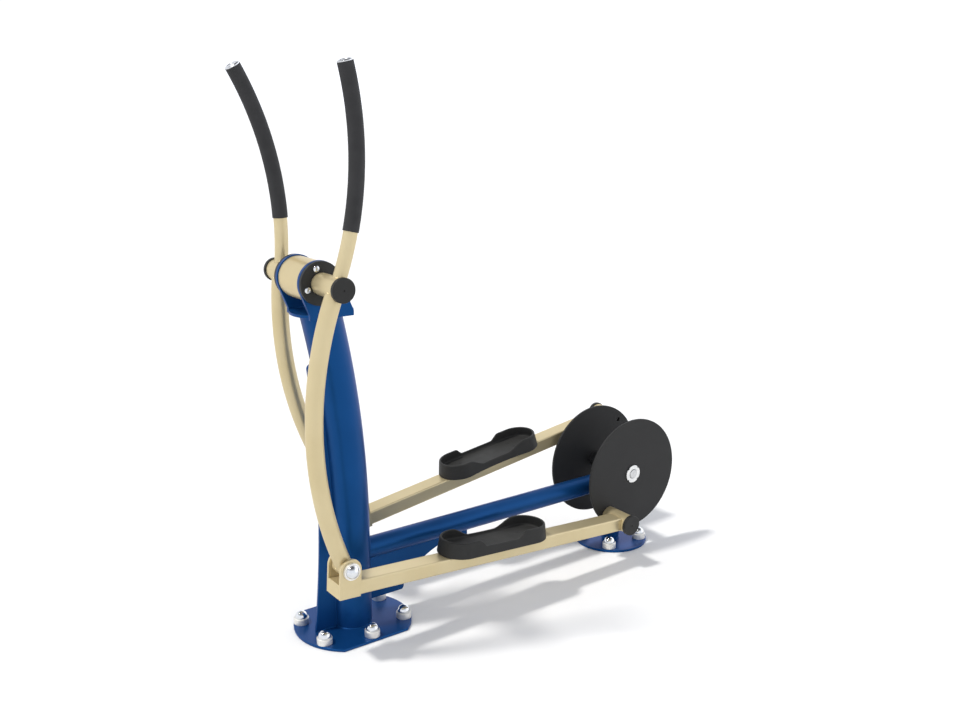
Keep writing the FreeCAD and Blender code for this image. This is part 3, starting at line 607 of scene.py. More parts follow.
def columnHead():
    h = headPlate
    bm = bmesh.new()
    outline = clippedDisk((columnTopX + h["shift"], 0), h["radius"], h["half"], h["steps"])
    plate(bm, outline, [], column["top"], column["top"] + h["thickness"], world, h["edge"])
    makePiece("headPlate", bm, "blue_paint", "frame", "head_plate")


def tangentAngle(point, turn):
    # where a straight side touches the ear's ring, as an angle
    dx, dz = point[0] - pivot.x, point[1] - pivot.z
    return math.degrees(math.atan2(dz, dx) + turn * math.acos(ear["radius"] / math.hypot(dx, dz)))


def headEars():
    e = ear
    footX, footZ = columnTopX + e["footShift"], column["top"] - e["footDrop"]
    front, rear = footX - e["footHalf"], footX + e["footHalf"]
    topZ = footZ + e["footHeight"]
    start, end = tangentAngle((rear, topZ), 1), tangentAngle((front, topZ), -1) + 360
    ring = arcPoints((pivot.x, pivot.z), e["radius"], start, end, e["steps"])
    foot = [(x, z, e["corner"]) for x, z in ((front, topZ), (front, footZ), (rear, footZ), (rear, topZ))]
    outline = easeCorners(ring + foot)
    bore = circle((pivot.x, pivot.z), e["bore"], e["boreSteps"])
    for side, sign in sides.items():
        bm = bmesh.new()
        low, high = sorted((sign * e["inner"], sign * e["outer"]))
        plate(bm, outline, [bore], low, high, crossways, e["edge"])
        makePiece(side + "Ear", bm, "blue_paint", "frame", side + "_ear")


columnTube()
columnFin()
columnHead()
headEars()
print("column and head made")


# Drum, bearing flanges and their bolts

drum = {"radius": 57.15, "wall": 6, "half": 59, "ease": 0.8, "turns": 120}
flange = {
    "radius": 59.7, "thickness": 10, "bore": 22.5, "spigot": 36, "seat": 31, "end": 14,
    "ease": 1.8, "boreEase": 0.8, "turns": 120,
}
flangeBolt = {
    "circle": 42.6, "count": 4, "offset": 18.5,
    "radius": 9.2, "height": 7, "socket": 4.4, "socketDepth": 3.4, "turns": 48,
}
boltHead = {"wallShare": 0.3, "domeAngles": (12, 26, 40, 52), "socketEase": 0.4}


def sleeveProfile(bore, radius, half, ease):
    return [(bore, -half), (radius, -half, ease), (radius, half, ease), (bore, half)]


def buttonHead(bm, bolt, place):
    # a domed head with a six-sided socket
    r, h, s = bolt["radius"], bolt["height"], bolt["socket"]
    wall, ease = h * boltHead["wallShare"], boltHead["socketEase"]
    dome = [(r, 0), (r, wall)]
    for a in map(math.radians, boltHead["domeAngles"]):
        dome.append((r * math.cos(a), wall + (h - wall) * math.sin(a)))
    rings = [ringAt(radius, height, bolt["turns"]) for radius, height in dome]
    for reach, height in ((s + ease, h), (s, h - ease), (s, h - bolt["socketDepth"])):
        ring = []
        for a in roundAngles(bolt["turns"]):
            corner = (a + math.pi / 6) % (math.pi / 3) - math.pi / 6
            radius = reach * math.cos(math.pi / 6) / math.cos(corner)
            ring.append(Vector((radius * math.cos(a), radius * math.sin(a), height)))
        rings.append(ring)
    skin(bm, rings, place)


def pivotDrum():
    d = drum
    bm = bmesh.new()
    profile = sleeveProfile(d["radius"] - d["wall"], d["radius"], d["half"], d["ease"])
    lathe(bm, profile, Matrix.Translation(pivot) @ alongY, d["turns"], True)
    makePiece("pivotDrum", bm, "beige_paint", "frame", "pivot_drum")


def bearingFlanges():
    f, back = flange, ear["outer"]
    bm = bmesh.new()
    face = back + f["thickness"]
    rim = [(f["bore"], back), (f["bore"], face, f["boreEase"]),
           (f["radius"], face, f["ease"]), (f["radius"], back)]
    spigot = [(f["spigot"], back), (f["spigot"], f["end"]), (f["seat"], f["end"]), (f["seat"], back)]
    for sign in sides.values():
        lathe(bm, rim + spigot, Matrix.Translation(pivot) @ mirrored(sign) @ alongY, f["turns"], True)
    makePiece("bearingFlanges", bm, "black_casting", "frame", "bearing_flanges")


def flangeBolts():
    b = flangeBolt
    bm = bmesh.new()
    face = ear["outer"] + flange["thickness"]
    for k in range(b["count"]):
        a = math.radians(b["offset"] + 360 / b["count"] * k)
        for sign in sides.values():
            seat = pivot + Vector((b["circle"] * math.cos(a), sign * face, b["circle"] * math.sin(a)))
            buttonHead(bm, b, Matrix.Translation(seat) @ mirrored(sign) @ alongY)
    makePiece("flangeBolts", bm, "chrome", "frame", "flange_bolts")


pivotDrum()
bearingFlanges()
flangeBolts()
print("pivot head made")


# Beam, gusset, rear post and axle housing

beam = {"radius": 31.75, "z": 226, "start": 40, "overhang": 46, "ease": 1.5, "turns": 96}
gusset = {
    "half": 4, "footZ": 59, "footX": 175, "corner": 10, "knee": (262, 149), "tipX": 416, "tipDrop": 17,
    "edge": 1.2, "steps": 40,
}
post = {"radius": 30.15, "turns": 96}
housing = {"radius": 33, "half": 55, "bore": 27.5, "ease": 1.2, "turns": 96}
# what the straight beads leave free at their ends
weldGaps = {"finTop": 6, "finToe": 4, "gussetFoot": 3, "gussetTip": 4, "headEnds": 4}


def beamTube():
    b = beam
    bm = bmesh.new()
    end = axle.x + b["overhang"]
    profile = [(0, b["start"]), (b["radius"], b["start"]), (b["radius"], end, b["ease"]), (0, end)]
    lathe(bm, profile, Matrix.Translation((0, 0, b["z"])) @ alongX, b["turns"])
    makePiece("beamTube", bm, "blue_paint", "frame", "beam_tube")


def beamGusset():
    b, g = beam, gusset
    bm = bmesh.new()
    foot = [(b["start"], g["footZ"]), (g["footX"], g["footZ"], g["corner"])]
    toe = (g["footX"], g["footZ"] + g["corner"])
    tip = (g["tipX"], b["z"] - b["radius"] - g["tipDrop"])
    underside = arcThrough(toe, g["knee"], tip, g["steps"])[1:]
    outline = easeCorners(foot + underside + [(g["tipX"], b["z"]), (b["start"], b["z"])], steps=8)
    plate(bm, outline, [], -g["half"], g["half"], crossways, g["edge"])
    makePiece("beamGusset", bm, "blue_paint", "frame", "beam_gusset")


def rearPost():
    low, high, radius = groundPlate["thickness"], beam["z"], post["radius"]
    bm = bmesh.new()
    profile = [(0, low), (radius, low), (radius, high), (0, high)]
    lathe(bm, profile, Matrix.Translation((axle.x, 0, 0)), post["turns"])
    makePiece("rearPost", bm, "blue_paint", "frame", "rear_post")


def axleHousing():
    h = housing
    bm = bmesh.new()
    profile = sleeveProfile(h["bore"], h["radius"], h["half"], h["ease"])
    lathe(bm, profile, Matrix.Translation(axle) @ alongY, h["turns"], True)
    makePiece("axleHousing", bm, "blue_paint", "frame", "axle_housing")


def tubeWelds(bm):
    # round the feet and the top of the column, and where the beam meets the column and the post
    plateTop, radius = groundPlate["thickness"], column["radius"]
    weld(bm, ringPath(Vector((0, 0, plateTop)), radius, radius), upZ, world, True)
    lean = math.asin((column["top"] - column["bendStart"]) / column["bendRadius"])
    topRing = ringPath(Vector((columnTopX, 0, column["top"])), radius / math.cos(lean), radius)
    weld(bm, topRing, upZ, world, True)
    weld(bm, ringPath(Vector((axle.x, 0, plateTop)), post["radius"], post["radius"]), upZ, world, True)
    beamStart, postTop = Vector((0, 0, beam["z"])), Vector((axle.x, 0, beam["z"]))
    weld(bm, saddlePath(beamStart, upX, upZ, beam["radius"], radius), upX, world, True)
    weld(bm, saddlePath(postTop, -upZ, upX, post["radius"], beam["radius"]), upZ, world, True)


def plateWelds(bm, sign):
    # along one side of the fin, the gusset and the head plate
    plateTop, radius, gaps = groundPlate["thickness"], column["radius"], weldGaps

    def straight(start, end, y, guide):
        path = straightPath(*(Vector((x, y, z)) for x, z in (start, end)))
        weld(bm, path, guide, world)

    side = sign * fin["half"]
    front = -math.sqrt(radius ** 2 - side ** 2)
    count = weldSteps(fin["topZ"])
    heights = [plateTop + (fin["topZ"] - gaps["finTop"] - plateTop) * k / count for k in range(count + 1)]
    weld(bm, [Vector((bendX(z, front), side, z)) for z in heights], upX, world)
    straight((front, plateTop), (fin["foot"][0] + gaps["finToe"], plateTop), side, upZ)
    side = sign * gusset["half"]
    rear = math.sqrt(radius ** 2 - side ** 2)
    under = beam["z"] - math.sqrt(beam["radius"] ** 2 - side ** 2)
    straight((rear, gusset["footZ"] + gaps["gussetFoot"]), (rear, under), side, upX)
    straight((rear, under), (gusset["tipX"] - gaps["gussetTip"], under), side, upZ)
    reach = math.sqrt(headPlate["radius"] ** 2 - headPlate["half"] ** 2) - gaps["headEnds"]
    headX, headZ = columnTopX + headPlate["shift"], column["top"] + headPlate["thickness"]
    straight((headX - reach, headZ), (headX + reach, headZ), sign * ear["inner"], upZ)


def frameWelds():
    bm = bmesh.new()
    tubeWelds(bm)
    for sign in sides.values():
        plateWelds(bm, sign)
    makePiece("frameWelds", bm, "blue_paint", "frame")


beamTube()
beamGusset()
rearPost()
axleHousing()
frameWelds()
print("beam and welds made")


# Crank disks, axle and nuts

disk = {
    "radius": 191.5, "inner": 92, "outer": 100, "edge": 1.4, "steps": 240, "crankHole": 7, "crankSteps": 32,
    "boss": 25, "bossStart": 55.3, "bossEase": 1, "bore": 15, "turns": 64,
    "recess": 31, "recessDepth": 4, "recessSteps": 64, "webGrip": 2, "webSink": 0.2,
}
axleBar = {"radius": 15, "end": 105, "ease": 1.2, "drill": 1.4, "drillDepth": 1.2, "turns": 64}
axleNut = {
    "radius": 30.5, "bore": 16, "thickness": 8, "edge": 1.3, "boreSteps": 64,
    "notches": 4, "notch": 7, "notchDepth": 3, "firstNotch": 45, "notchSteps": 24,
}


def crankDisks():
    d = disk
    web, webStart = d["recess"] + d["webGrip"], d["inner"] + d["webSink"]
    recessFloor = d["outer"] - d["recessDepth"]
    boss = [(d["bore"], d["bossStart"]), (d["boss"], d["bossStart"], d["bossEase"]), (d["boss"], webStart),
            (web, webStart), (web, recessFloor), (d["bore"], recessFloor)]
    for side, sign in sides.items():
        crank = nodeMiddle(side + "_crank_sleeve")
        bm = bmesh.new()
        recess = circle((axle.x, axle.z), d["recess"], d["recessSteps"])
        crankHole = circle((crank.x, crank.z), d["crankHole"], d["crankSteps"])
        low, high = sorted((sign * d["inner"], sign * d["outer"]))
        rim = circle((axle.x, axle.z), d["radius"], d["steps"])
        plate(bm, rim, [recess, crankHole], low, high, crossways, d["edge"])
        lathe(bm, boss, Matrix.Translation(axle) @ mirrored(sign) @ alongY, d["turns"], True)
        makePiece(side + "Disk", bm, "black_paint", "flywheel", side + "_disk")


def crankAxle():
    x = axleBar
    bm = bmesh.new()
    drillEnd = x["end"] - x["drillDepth"]
    half = [(x["radius"], 0), (x["radius"], x["end"], x["ease"]), (x["drill"], x["end"]), (0, drillEnd)]
    profile = [(p[0], -p[1], *p[2:]) for p in reversed(half)] + half[1:]
    lathe(bm, profile, Matrix.Translation(axle) @ alongY, x["turns"])
    makePiece("crankAxle", bm, "machined_steel", "flywheel", "crank_axle")


def axleNuts():
    n = axleNut
    bm = bmesh.new()
    outline = []
    pitch = 360 / n["notches"]
    slotAngle = math.degrees(math.asin(n["notch"] / 2 / n["radius"]))
    notchFloor = n["radius"] - n["notchDepth"]
    for k in range(n["notches"]):
        start, end = (pitch * j + n["firstNotch"] for j in (k, k + 1))
        outline += arcPoints((0, 0), n["radius"], start + slotAngle, end - slotAngle, n["notchSteps"])
        turn = Matrix.Rotation(math.radians(end), 2)
        outline += [tuple(turn @ Vector((notchFloor, y))) for y in (-n["notch"] / 2, n["notch"] / 2)]
    outline = [(axle.x + a, axle.z + b) for a, b in outline]
    bore = circle((axle.x, axle.z), n["bore"], n["boreSteps"])
    seat = disk["outer"] - disk["recessDepth"]
    for sign in sides.values():
        low, high = sorted(sign * (seat + reach) for reach in (0, n["thickness"]))
        plate(bm, outline, [bore], low, high, crossways, n["edge"])
    makePiece("axleNuts", bm, "zinc_steel", "flywheel", "axle_nuts")


crankDisks()
crankAxle()
axleNuts()
print("crank made")


# Levers, modelled hanging from the pivot at +Y

lever = {
    "y": 162.5, "length": 775, "radius": 24.15, "bowRadius": 1010, "ends": (0.02, 0.995),
    "rows": 90, "turns": 80,
}
handle = {"radius": 19, "bowRadius": 903.5, "length": 575, "start": 20, "tuck": 2, "rows": 90, "turns": 72}
grip = {"radius": 21.4, "start": 150, "ease": 0.9, "easeSteps": 4, "rows": 90, "turns": 80}
plug = {
    "radius": 20.8, "thickness": 4.95, "chamfer": 3.9, "rim": 1.8, "dish": 0.9,
    "ease": 0.8, "dishEase": 0.4, "turns": 72,
}
hub = {"radius": 30.15, "bore": 25.15, "inner": 80.5, "outer": 193, "ease": 0.8, "turns": 96}
endCap = {
    "radius": 33.5, "thickness": 12, "ease": 2.2, "footEase": 0.6,
    "dimple": 2.4, "dimpleDepth": 2.2, "dimpleEase": 0.4, "turns": 96,
}
footSleeve = {"radius": 25, "bore": 17.05, "half": 27, "ease": 0.8, "turns": 80}
leverWeld = {"hubRadius": 2.0, "footRadius": 1.5}

bowHalf = math.asin(lever["length"] / 2 / lever["bowRadius"])


def leverPlace(side, sign):
    foot = jointPlace(side + "_arm_hinge")
    angle = math.atan2(foot.x - pivot.x, pivot.z - foot.z)
    return Matrix.Translation(pivot) @ Matrix.Rotation(-angle, 4, "Y") @ mirrored(sign)


def bowPoint(centre, radius, a):
    # a point on a bow in the lever's plane, and the way it runs
    out = Vector((math.cos(a), 0, math.sin(a)))
    return centre + out * radius + Vector((0, lever["y"], 0)), Vector((-out.z, 0, out.x))


def leverPoint(share):
    # on the lower tube, from the pivot to the foot
    centre = Vector((lever["bowRadius"] * math.cos(bowHalf), 0, -lever["length"] / 2))
    return bowPoint(centre, lever["bowRadius"], math.pi - bowHalf + 2 * bowHalf * share)


def handlePoint(length):
    # on the handle, at a length up from the pivot
    centre = Vector((-math.cos(bowHalf), 0, math.sin(bowHalf))) * handle["bowRadius"]
    return bowPoint(centre, handle["bowRadius"], length / handle["bowRadius"] - bowHalf)


def ringTube(bm, ring, low, high, place):
    r = ring
    profile = [(r["bore"], low), (r["radius"], low, r["ease"]), (r["radius"], high, r["ease"]),
               (r["bore"], high, r["ease"] / 2)]
    lathe(bm, profile, place, r["turns"], True)


def endCapProfile():
    c = endCap
    top = c["thickness"]
    dimpleFloor = top - c["dimpleDepth"]
    return [(0, 0), (c["radius"], 0, c["footEase"]), (c["radius"], top, c["ease"]),
            (c["dimple"], top, c["dimpleEase"]), (c["dimple"], dimpleFloor), (0, dimpleFloor)]


def plugProfile():
    p = plug
    top = p["thickness"]
    crown = p["radius"] - p["chamfer"]
    lip, dishFloor = crown - p["rim"], top - p["dish"]
    return [(0, 0), (p["radius"], 0), (p["radius"], top / 2, p["ease"]), (crown, top, p["ease"]),
            (lip, top, p["dishEase"]), (lip - p["dish"], dishFloor, p["dishEase"]), (0, dishFloor)]


def leverTube(side, place):
    bm = bmesh.new()
    first, last = lever["ends"]
    shares = [first + (last - first) * k / lever["rows"] for k in range(lever["rows"] + 1)]
    sweep(bm, [(*leverPoint(s), lever["radius"]) for s in shares], upY, place, lever["turns"])
    makePiece(side + "LeverTube", bm, "beige_paint", side + "_lever", side + "_lever_tube")


def handleTube(side, place):
    h = handle
    bm = bmesh.new()
    stretch = (h["length"] - h["tuck"] - h["start"]) / h["rows"]
    lengths = [h["start"] + stretch * k for k in range(h["rows"] + 1)]
    sweep(bm, [(*handlePoint(s), h["radius"]) for s in lengths], upY, place, h["turns"])
    makePiece(side + "HandleTube", bm, "beige_paint", side + "_lever", side + "_handle_tube")


def gripSleeve(side, place):
    g = grip
    bm = bmesh.new()
    first, last, ease = g["start"], handle["length"], g["ease"]
    turns = [math.pi / 2 * k / g["easeSteps"] for k in range(g["easeSteps"] + 1)]
    bends = [(1 - math.cos(a), 1 - math.sin(a)) for a in turns]
    stations = [(first + ease * along, g["radius"] - ease * drop) for along, drop in bends]
    stations += [(first + (last - first) * k / g["rows"], g["radius"]) for k in range(1, g["rows"])]
    stations += [(last - ease * along, g["radius"] - ease * drop) for along, drop in reversed(bends)]
    sweep(bm, [(*handlePoint(s), radius) for s, radius in stations], upY, place, g["turns"])
    makePiece(side + "Grip", bm, "grip_rubber", side + "_lever", side + "_grip")


def handlePlug(side, place):
    bm = bmesh.new()
    top, along = handlePoint(handle["length"])
    lean = along.to_track_quat("Z", "Y").to_matrix().to_4x4()
    lathe(bm, plugProfile(), place @ Matrix.Translation(top) @ lean, plug["turns"])
    makePiece(side + "HandlePlug", bm, "silver_plug", side + "_lever", side + "_handle_plug")


def leverHub(side, place):
    bm = bmesh.new()
    ringTube(bm, hub, hub["inner"], hub["outer"], place @ alongY)
    makePiece(side + "LeverHub", bm, "beige_paint", side + "_lever", side + "_lever_hub")


def pivotCap(side, place):
    bm = bmesh.new()
    lathe(bm, endCapProfile(), place @ Matrix.Translation((0, hub["outer"], 0)) @ alongY, endCap["turns"])
    makePiece(side + "PivotCap", bm, "black_plastic", side + "_lever", side + "_pivot_cap")


def leverFoot(side, place):
    bm = bmesh.new()
    atFoot = Matrix.Translation((0, lever["y"], -lever["length"]))
    ringTube(bm, footSleeve, -footSleeve["half"], footSleeve["half"], place @ atFoot @ alongY)
    makePiece(side + "FootSleeve", bm, "beige_paint", side + "_lever", side + "_foot_sleeve")


def leverWelds(side, place):
    bm = bmesh.new()
    atHub = Vector((0, lever["y"], 0))
    for tube, along in ((lever, leverPoint(0)[1]), (handle, handlePoint(0)[1])):
        path = saddlePath(atHub, along, upY, tube["radius"], hub["radius"])
        weld(bm, path, along, place, True, leverWeld["hubRadius"])
    foot, along = leverPoint(1)
    path = saddlePath(foot, -along, upY, lever["radius"], footSleeve["radius"])
    weld(bm, path, -along, place, True, leverWeld["footRadius"])
    makePiece(side + "LeverWelds", bm, "beige_paint", side + "_lever")


leverMakers = (leverTube, handleTube, gripSleeve, handlePlug, leverHub, pivotCap, leverFoot, leverWelds)
for side, sign in sides.items():
    place = leverPlace(side, sign)
    for make in leverMakers:
        make(side, place)
print("levers made")


# Arms, modelled level with the clevis pin at the origin

arm = {
    "width": 60, "height": 43, "span": 1046, "rise": 59, "front": -33, "rearTuck": 20,
    "corner": 5, "edge": 1.2,
}
clevis = {
    "half": 33, "inner": 30, "thickness": 8, "edge": 1.2, "corner": 1.6, "steps": 60,
    "bore": 12.5, "boreSteps": 40, "pinReach": 4, "pinTurns": 48,
}
clevisNut = {"radius": 24.5, "collar": 9, "height": 24, "step": 4, "sunk": 1, "ease": 1.4, "foot": 0.6}
crankSleeve = {"radius": 30.15, "bore": 24.15, "inner": 103, "outer": 204.5, "ease": 0.8, "turns": 96}
pedal = {
    "length": 383, "width": 135.5, "shift": 6.75, "centre": 516, "waist": 9, "sideSteps": 60, "endSteps": 72,
    "floor": 14, "wall": 7, "lean": 7, "wallRows": (0.35, 0.7),
    "footEase": 2.5, "fillet": 9, "leastFillet": 0.4,
    "lobe": 47.5, "outerLow": 27, "outerToe": (-91, -64), "outerHeel": (54, 85),
    "innerLow": 22, "innerToe": (-112, -52), "innerHeel": (40, 112),
}
pedalBolt = {
    "spacingX": 200, "spacingY": 34, "sink": 1.8,
    "radius": 8, "height": 2.2, "socket": 3.2, "socketDepth": 1.6, "turns": 36,
}
armWeld = {"sleeveRadius": 1.9, "sleeveGap": 4, "sleeveSteps": 40, "earRadius": 1.8, "earGap": 5}

armLine = Matrix.Translation((0, lever["y"], 0))
armSide = arm["width"] / 2
armTop = arm["height"] / 2 - arm["rise"]
armFoot = -arm["height"] / 2 - arm["rise"]


def armPlace(side, sign):
    hinge = jointPlace(side + "_arm_hinge")
    crank = nodeMiddle(side + "_crank_sleeve")
    angle = math.atan2(crank.z - hinge.z, crank.x - hinge.x) + math.atan2(arm["rise"], arm["span"])
    atHinge = Matrix.Translation((hinge.x, 0, hinge.z))
    return atHinge @ Matrix.Rotation(-angle, 4, "Y") @ mirrored(sign)


def smoothStep(value, start, stop):
    share = min(max((value - start) / (stop - start), 0), 1)
    return share * share * (3 - 2 * share)


def pedalOutline(inset):
    # round ends, a straight outer side and a waisted inner side
    p = pedal
    r = p["width"] / 2 - inset
    cx = p["length"] / 2 - p["width"] / 2
    depth = p["width"] / 2 - p["waist"] - inset
    waistRadius = (cx ** 2 + depth ** 2 - r ** 2) / (2 * (r - depth))
    lean = math.degrees(math.atan2(cx, waistRadius + depth))
    outer = [(-cx + 2 * cx * k / p["sideSteps"], r) for k in range(p["sideSteps"])]
    heel = arcPoints((cx, 0), r, 90, -90 - lean, p["endSteps"])[:-1]
    waist = arcPoints((0, -waistRadius - depth), waistRadius, 90 - lean, 90 + lean, p["sideSteps"])[:-1]
    toe = arcPoints((-cx, 0), r, -90 + lean, -270, p["endSteps"])[:-1]
    return outer + heel + waist + toe


def rimHeight(x, y):
    # high round toe and heel, low at the outer side's middle and lower still at the inner side's waist
    p = pedal
    which = "outer" if y > 0 else "inner"
    dip = smoothStep(x, *p[which + "Toe"]) - smoothStep(x, *p[which + "Heel"])
    return p["lobe"] + (p[which + "Low"] - p["lobe"]) * dip


def pedalTray(bm, place):
    p = pedal
    slope = p["lean"] / p["lobe"]
    heights = [rimHeight(x, y) for x, y in pedalOutline(0)]
    foot, rimRound = p["footEase"], p["wall"] / 2
    rows = []
    outlines = {}

    def outlineAt(inset, i):
        key = round(inset, 3)
        if key not in outlines:
            outlines[key] = pedalOutline(key)
        return outlines[key][i]

    def row(insetAt, heightAt):
        # each point of the row takes its inset and height from its own rim
        ring = []
        for i, high in enumerate(heights):
            z = heightAt(high)
            ring.append(Vector((*outlineAt(insetAt(high) + slope * z, i), z)))
        rows.append(ring)

    def fillet(high):
        return min(p["fillet"], max(high - rimRound - p["floor"], p["leastFillet"]))

    for turn in map(math.radians, range(0, 91, 30)):
        row(lambda high, t=turn: foot * (1 - math.sin(t)), lambda high, t=turn: foot * (1 - math.cos(t)))
    for share in p["wallRows"]:
        row(lambda high: 0, lambda high, s=share: foot + (high - rimRound - foot) * s)
    for turn in map(math.radians, range(0, 181, 15)):
        row(lambda high, t=turn: rimRound * (1 - math.cos(t)),
            lambda high, t=turn: high - rimRound + rimRound * math.sin(t))
    for turn in map(math.radians, range(0, 91, 15)):
        row(lambda high, t=turn: p["wall"] + fillet(high) * (1 - math.cos(t)),
            lambda high, t=turn: p["floor"] + fillet(high) * (1 - math.sin(t)))
    skin(bm, rows, place)


def armTube(side, place):
    a = arm
    bm = bmesh.new()
    corners = ((-armSide, armFoot), (armSide, armFoot), (armSide, armTop), (-armSide, armTop))
    outline = easeCorners([(y, z, a["corner"]) for y, z in corners], steps=6)
    plate(bm, outline, [], a["front"], a["span"] - a["rearTuck"], place @ armLine @ lengthways, a["edge"])
    makePiece(side + "ArmTube", bm, "beige_paint", side + "_arm", side + "_arm_tube")


def clevisEars(side, place):
    c = clevis
    bm = bmesh.new()
    foot = [(x, armFoot, c["corner"]) for x in (-c["half"], c["half"])]
    outline = easeCorners(arcPoints((0, 0), c["half"], 0, 180, c["steps"]) + foot)
    bore = circle((0, 0), c["bore"], c["boreSteps"])
    for turn in (-1, 1):
        low, high = sorted((turn * c["inner"], turn * (c["inner"] + c["thickness"])))
        plate(bm, outline, [bore], low, high, place @ armLine @ crossways, c["edge"])
    makePiece(side + "ClevisEars", bm, "beige_paint", side + "_arm", side + "_clevis_ears")


def clevisPin(side, place):
    c = clevis
    bm, collars = bmesh.new(), bmesh.new()
    face = c["inner"] + c["thickness"]
    end = face + c["pinReach"]
    profile = [(0, -end), (c["bore"], -end), (c["bore"], end), (0, end)]
    lathe(bm, profile, place @ armLine @ alongY, c["pinTurns"])
    for turn in (-1, 1):
        seat = mirrored(turn) @ Matrix.Translation((0, face, 0)) @ alongY
        acornNut(bm, collars, clevisNut, place @ armLine @ seat)
    makePiece(side + "ClevisPin", bm, "chrome", side + "_arm", side + "_clevis_pin")
    makePiece(side + "NutCollars", collars, "chrome", side + "_arm", look=satinLook)


def armPedal(side, place):
    bm = bmesh.new()
    pedalTray(bm, place @ armLine @ Matrix.Translation((pedal["centre"], -pedal["shift"], armTop)))
    makePiece(side + "Pedal", bm, "pedal_plastic", side + "_arm", side + "_pedal")


def pedalBolts(side, place):
    b = pedalBolt
    bm = bmesh.new()
    middle = Vector((pedal["centre"], 0, armTop))
    for sx in (-0.5, 0.5):
        for sy in (-0.5, 0.5):
            seat = Vector((sx * b["spacingX"], sy * b["spacingY"], pedal["floor"] - b["sink"]))
            buttonHead(bm, b, place @ armLine @ Matrix.Translation(seat + middle))
    makePiece(side + "PedalBolts", bm, "black_paint", side + "_arm", side + "_pedal_bolts")


def crankEnd(side, place):
    s = crankSleeve
    atCrank = place @ Matrix.Translation((arm["span"], 0, -arm["rise"])) @ alongY
    bm = bmesh.new()
    ringTube(bm, s, s["inner"], s["outer"], atCrank)
    makePiece(side + "CrankSleeve", bm, "beige_paint", side + "_arm", side + "_crank_sleeve")
    bm = bmesh.new()
    lathe(bm, endCapProfile(), atCrank @ Matrix.Translation((0, 0, s["outer"])), endCap["turns"])
    makePiece(side + "CrankCap", bm, "black_plastic", side + "_arm", side + "_crank_cap")


def armWelds(side, place):
    w, c, sleeve = armWeld, clevis, crankSleeve["radius"]
    inArm = place @ armLine
    bm = bmesh.new()
    halfZ = arm["height"] / 2
    meet = arm["span"] - math.sqrt(sleeve ** 2 - halfZ ** 2)
    reach = armSide - w["sleeveGap"]
    for turn, z in ((-1, armFoot), (1, armTop)):
        path = straightPath(Vector((meet, -reach, z)), Vector((meet, reach, z)))
        weld(bm, path, upZ, inArm, radius=w["sleeveRadius"])
        low, high = (Vector((c["half"], turn * c["inner"], end))
                     for end in (armFoot + w["earGap"], armTop - w["earGap"]))
        weld(bm, straightPath(low, high), upX, inArm, radius=w["earRadius"])
    half, steps = math.asin(halfZ / sleeve), w["sleeveSteps"]
    path = []
    for t in (half * (2 * k / steps - 1) for k in range(steps + 1)):
        x, z = arm["span"] - sleeve * math.cos(t), sleeve * math.sin(t) - arm["rise"]
        path.append(Vector((x, -armSide, z)))
    weld(bm, path, upX, inArm, radius=w["sleeveRadius"])
    makePiece(side + "ArmWelds", bm, "beige_paint", side + "_arm")


armMakers = (armTube, clevisEars, clevisPin, armPedal, pedalBolts, crankEnd, armWelds)
for side, sign in sides.items():
    place = armPlace(side, sign)
    for make in armMakers:
        make(side, place)
print("arms made")


# Inner pieces keep their solids and get their finish

innerLooks = {
    "machined_steel": ["pivot_bearings", "axle_bearings", "axle_keys"]
    + [side + name for side in sides for name in ("_pivot_shaft", "_shaft_retainer", "_crank_pin")],
    "bush_plastic": [side + name for side in sides for name in ("_foot_bushes", "_crank_bushes")],
}
for slotName, nodes in innerLooks.items():
    for node in nodes:
        for holder in frame["nodes"][node].material_slots:
            holder.material = looks[slotName]
print("inner pieces finished")


# Floor, light and camera, placed in metres

floorSheet = {"reach": 60, "drop": 0.0004, "tone": 0.92, "patchTone": 0.995, "patchScale": 0.4}
skyLight = {
    "low": 1.14, "high": 0.15, "start": 0.5, "stop": 0.92, "rearGain": 1.8, "rearStart": 0.3,
    "colour": (0.925, 0.945, 1.0),
}
keyLight = {"along": (0.475, -0.2, -1.0), "strength": 1.85, "softness": 6, "colour": (1.0, 0.98, 0.94)}
viewer = {
    "place": (-1.3725, -2.5448, 1.5561), "azimuth": -35.89, "elevation": 14.59, "lens": 39.664, "sensor": 36,
    "farthest": 300,
}


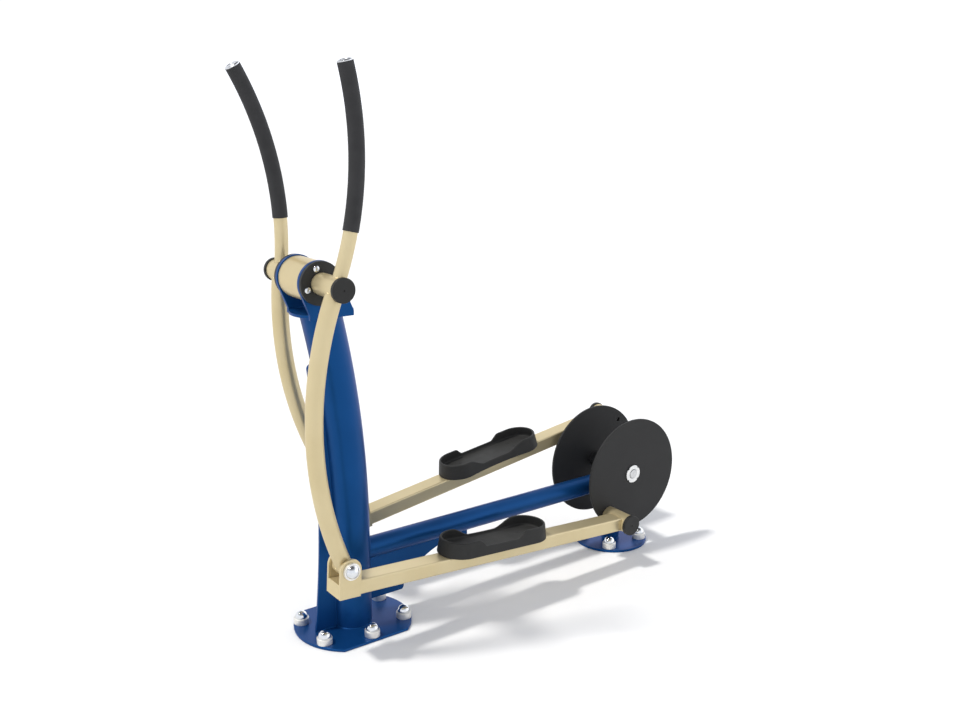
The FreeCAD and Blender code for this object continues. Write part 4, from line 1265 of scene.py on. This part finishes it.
def studioFloor():
    f, r = floorSheet, floorSheet["reach"]
    mesh = bpy.data.meshes.new("floor")
    corners = [(x, y, -f["drop"]) for x, y in ((-r, -r), (r, -r), (r, r), (-r, r))]
    mesh.from_pydata(corners, [], [(0, 1, 2, 3)])
    material, tree, shader = startLook("paleFloor", Roughness=1.0, Specular_IOR_Level=0.0)
    patch = ranged(tree, grainField(tree, f["patchScale"]), 0, 1)
    tones = [(tone, tone, tone, 1) for tone in (f["tone"], f["tone"] * f["patchTone"])]
    tree.links.new(tinted(tree, patch, *tones), shader.inputs["Base Color"])
    mesh.materials.append(material)
    floor = bpy.data.objects.new("floor", mesh)
    bpy.context.scene.collection.objects.link(floor)


def studioSky():
    # bright low down and dim overhead, brighter still beyond the rear end
    s = skyLight
    sky = bpy.data.worlds.new("studioSky")
    sky.use_nodes = True
    tree = sky.node_tree
    place = tree.nodes.new("ShaderNodeTexCoord")
    split = tree.nodes.new("ShaderNodeSeparateXYZ")
    tree.links.new(place.outputs["Generated"], split.inputs["Vector"])
    level = ranged(tree, split.outputs["Z"], s["low"], s["high"], s["start"], s["stop"])
    rear = ranged(tree, split.outputs["X"], 1, s["rearGain"], s["rearStart"], 1)
    gain = tree.nodes.new("ShaderNodeMath")
    gain.operation = "MULTIPLY"
    for output, socket in zip((level, rear), gain.inputs):
        tree.links.new(output, socket)
    tree.links.new(gain.outputs["Value"], tree.nodes["Background"].inputs["Strength"])
    tree.nodes["Background"].inputs["Color"].default_value = (*s["colour"], 1)
    bpy.context.scene.world = sky


def studioKey():
    k = keyLight
    key = bpy.data.lights.new("key", "SUN")
    key.energy = k["strength"]
    key.color = k["colour"]
    key.angle = math.radians(k["softness"])
    lamp = bpy.data.objects.new("key", key)
    lamp.rotation_euler = Vector(k["along"]).to_track_quat("-Z", "Y").to_euler()
    bpy.context.scene.collection.objects.link(lamp)


def studioCamera():
    v = viewer
    a, e = math.radians(v["azimuth"]), math.radians(v["elevation"])
    back = Vector((math.sin(a) * math.cos(e), -math.cos(a) * math.cos(e), math.sin(e)))
    right = Vector((math.cos(a), math.sin(a), 0))
    data = bpy.data.cameras.new("viewer")
    data.sensor_fit = "HORIZONTAL"
    data.sensor_width = v["sensor"]
    data.lens = v["lens"]
    data.clip_end = v["farthest"]
    camera = bpy.data.objects.new("viewer", data)
    turn = Matrix((right, back.cross(right), back)).transposed().to_4x4()
    camera.matrix_world = Matrix.Translation(v["place"]) @ turn
    bpy.context.scene.collection.objects.link(camera)
    bpy.context.scene.camera = camera


studioFloor()
studioSky()
studioKey()
studioCamera()
bpy.context.scene.view_settings.view_transform = "Standard"
bpy.context.scene.view_settings.look = "None"
print("studio made")
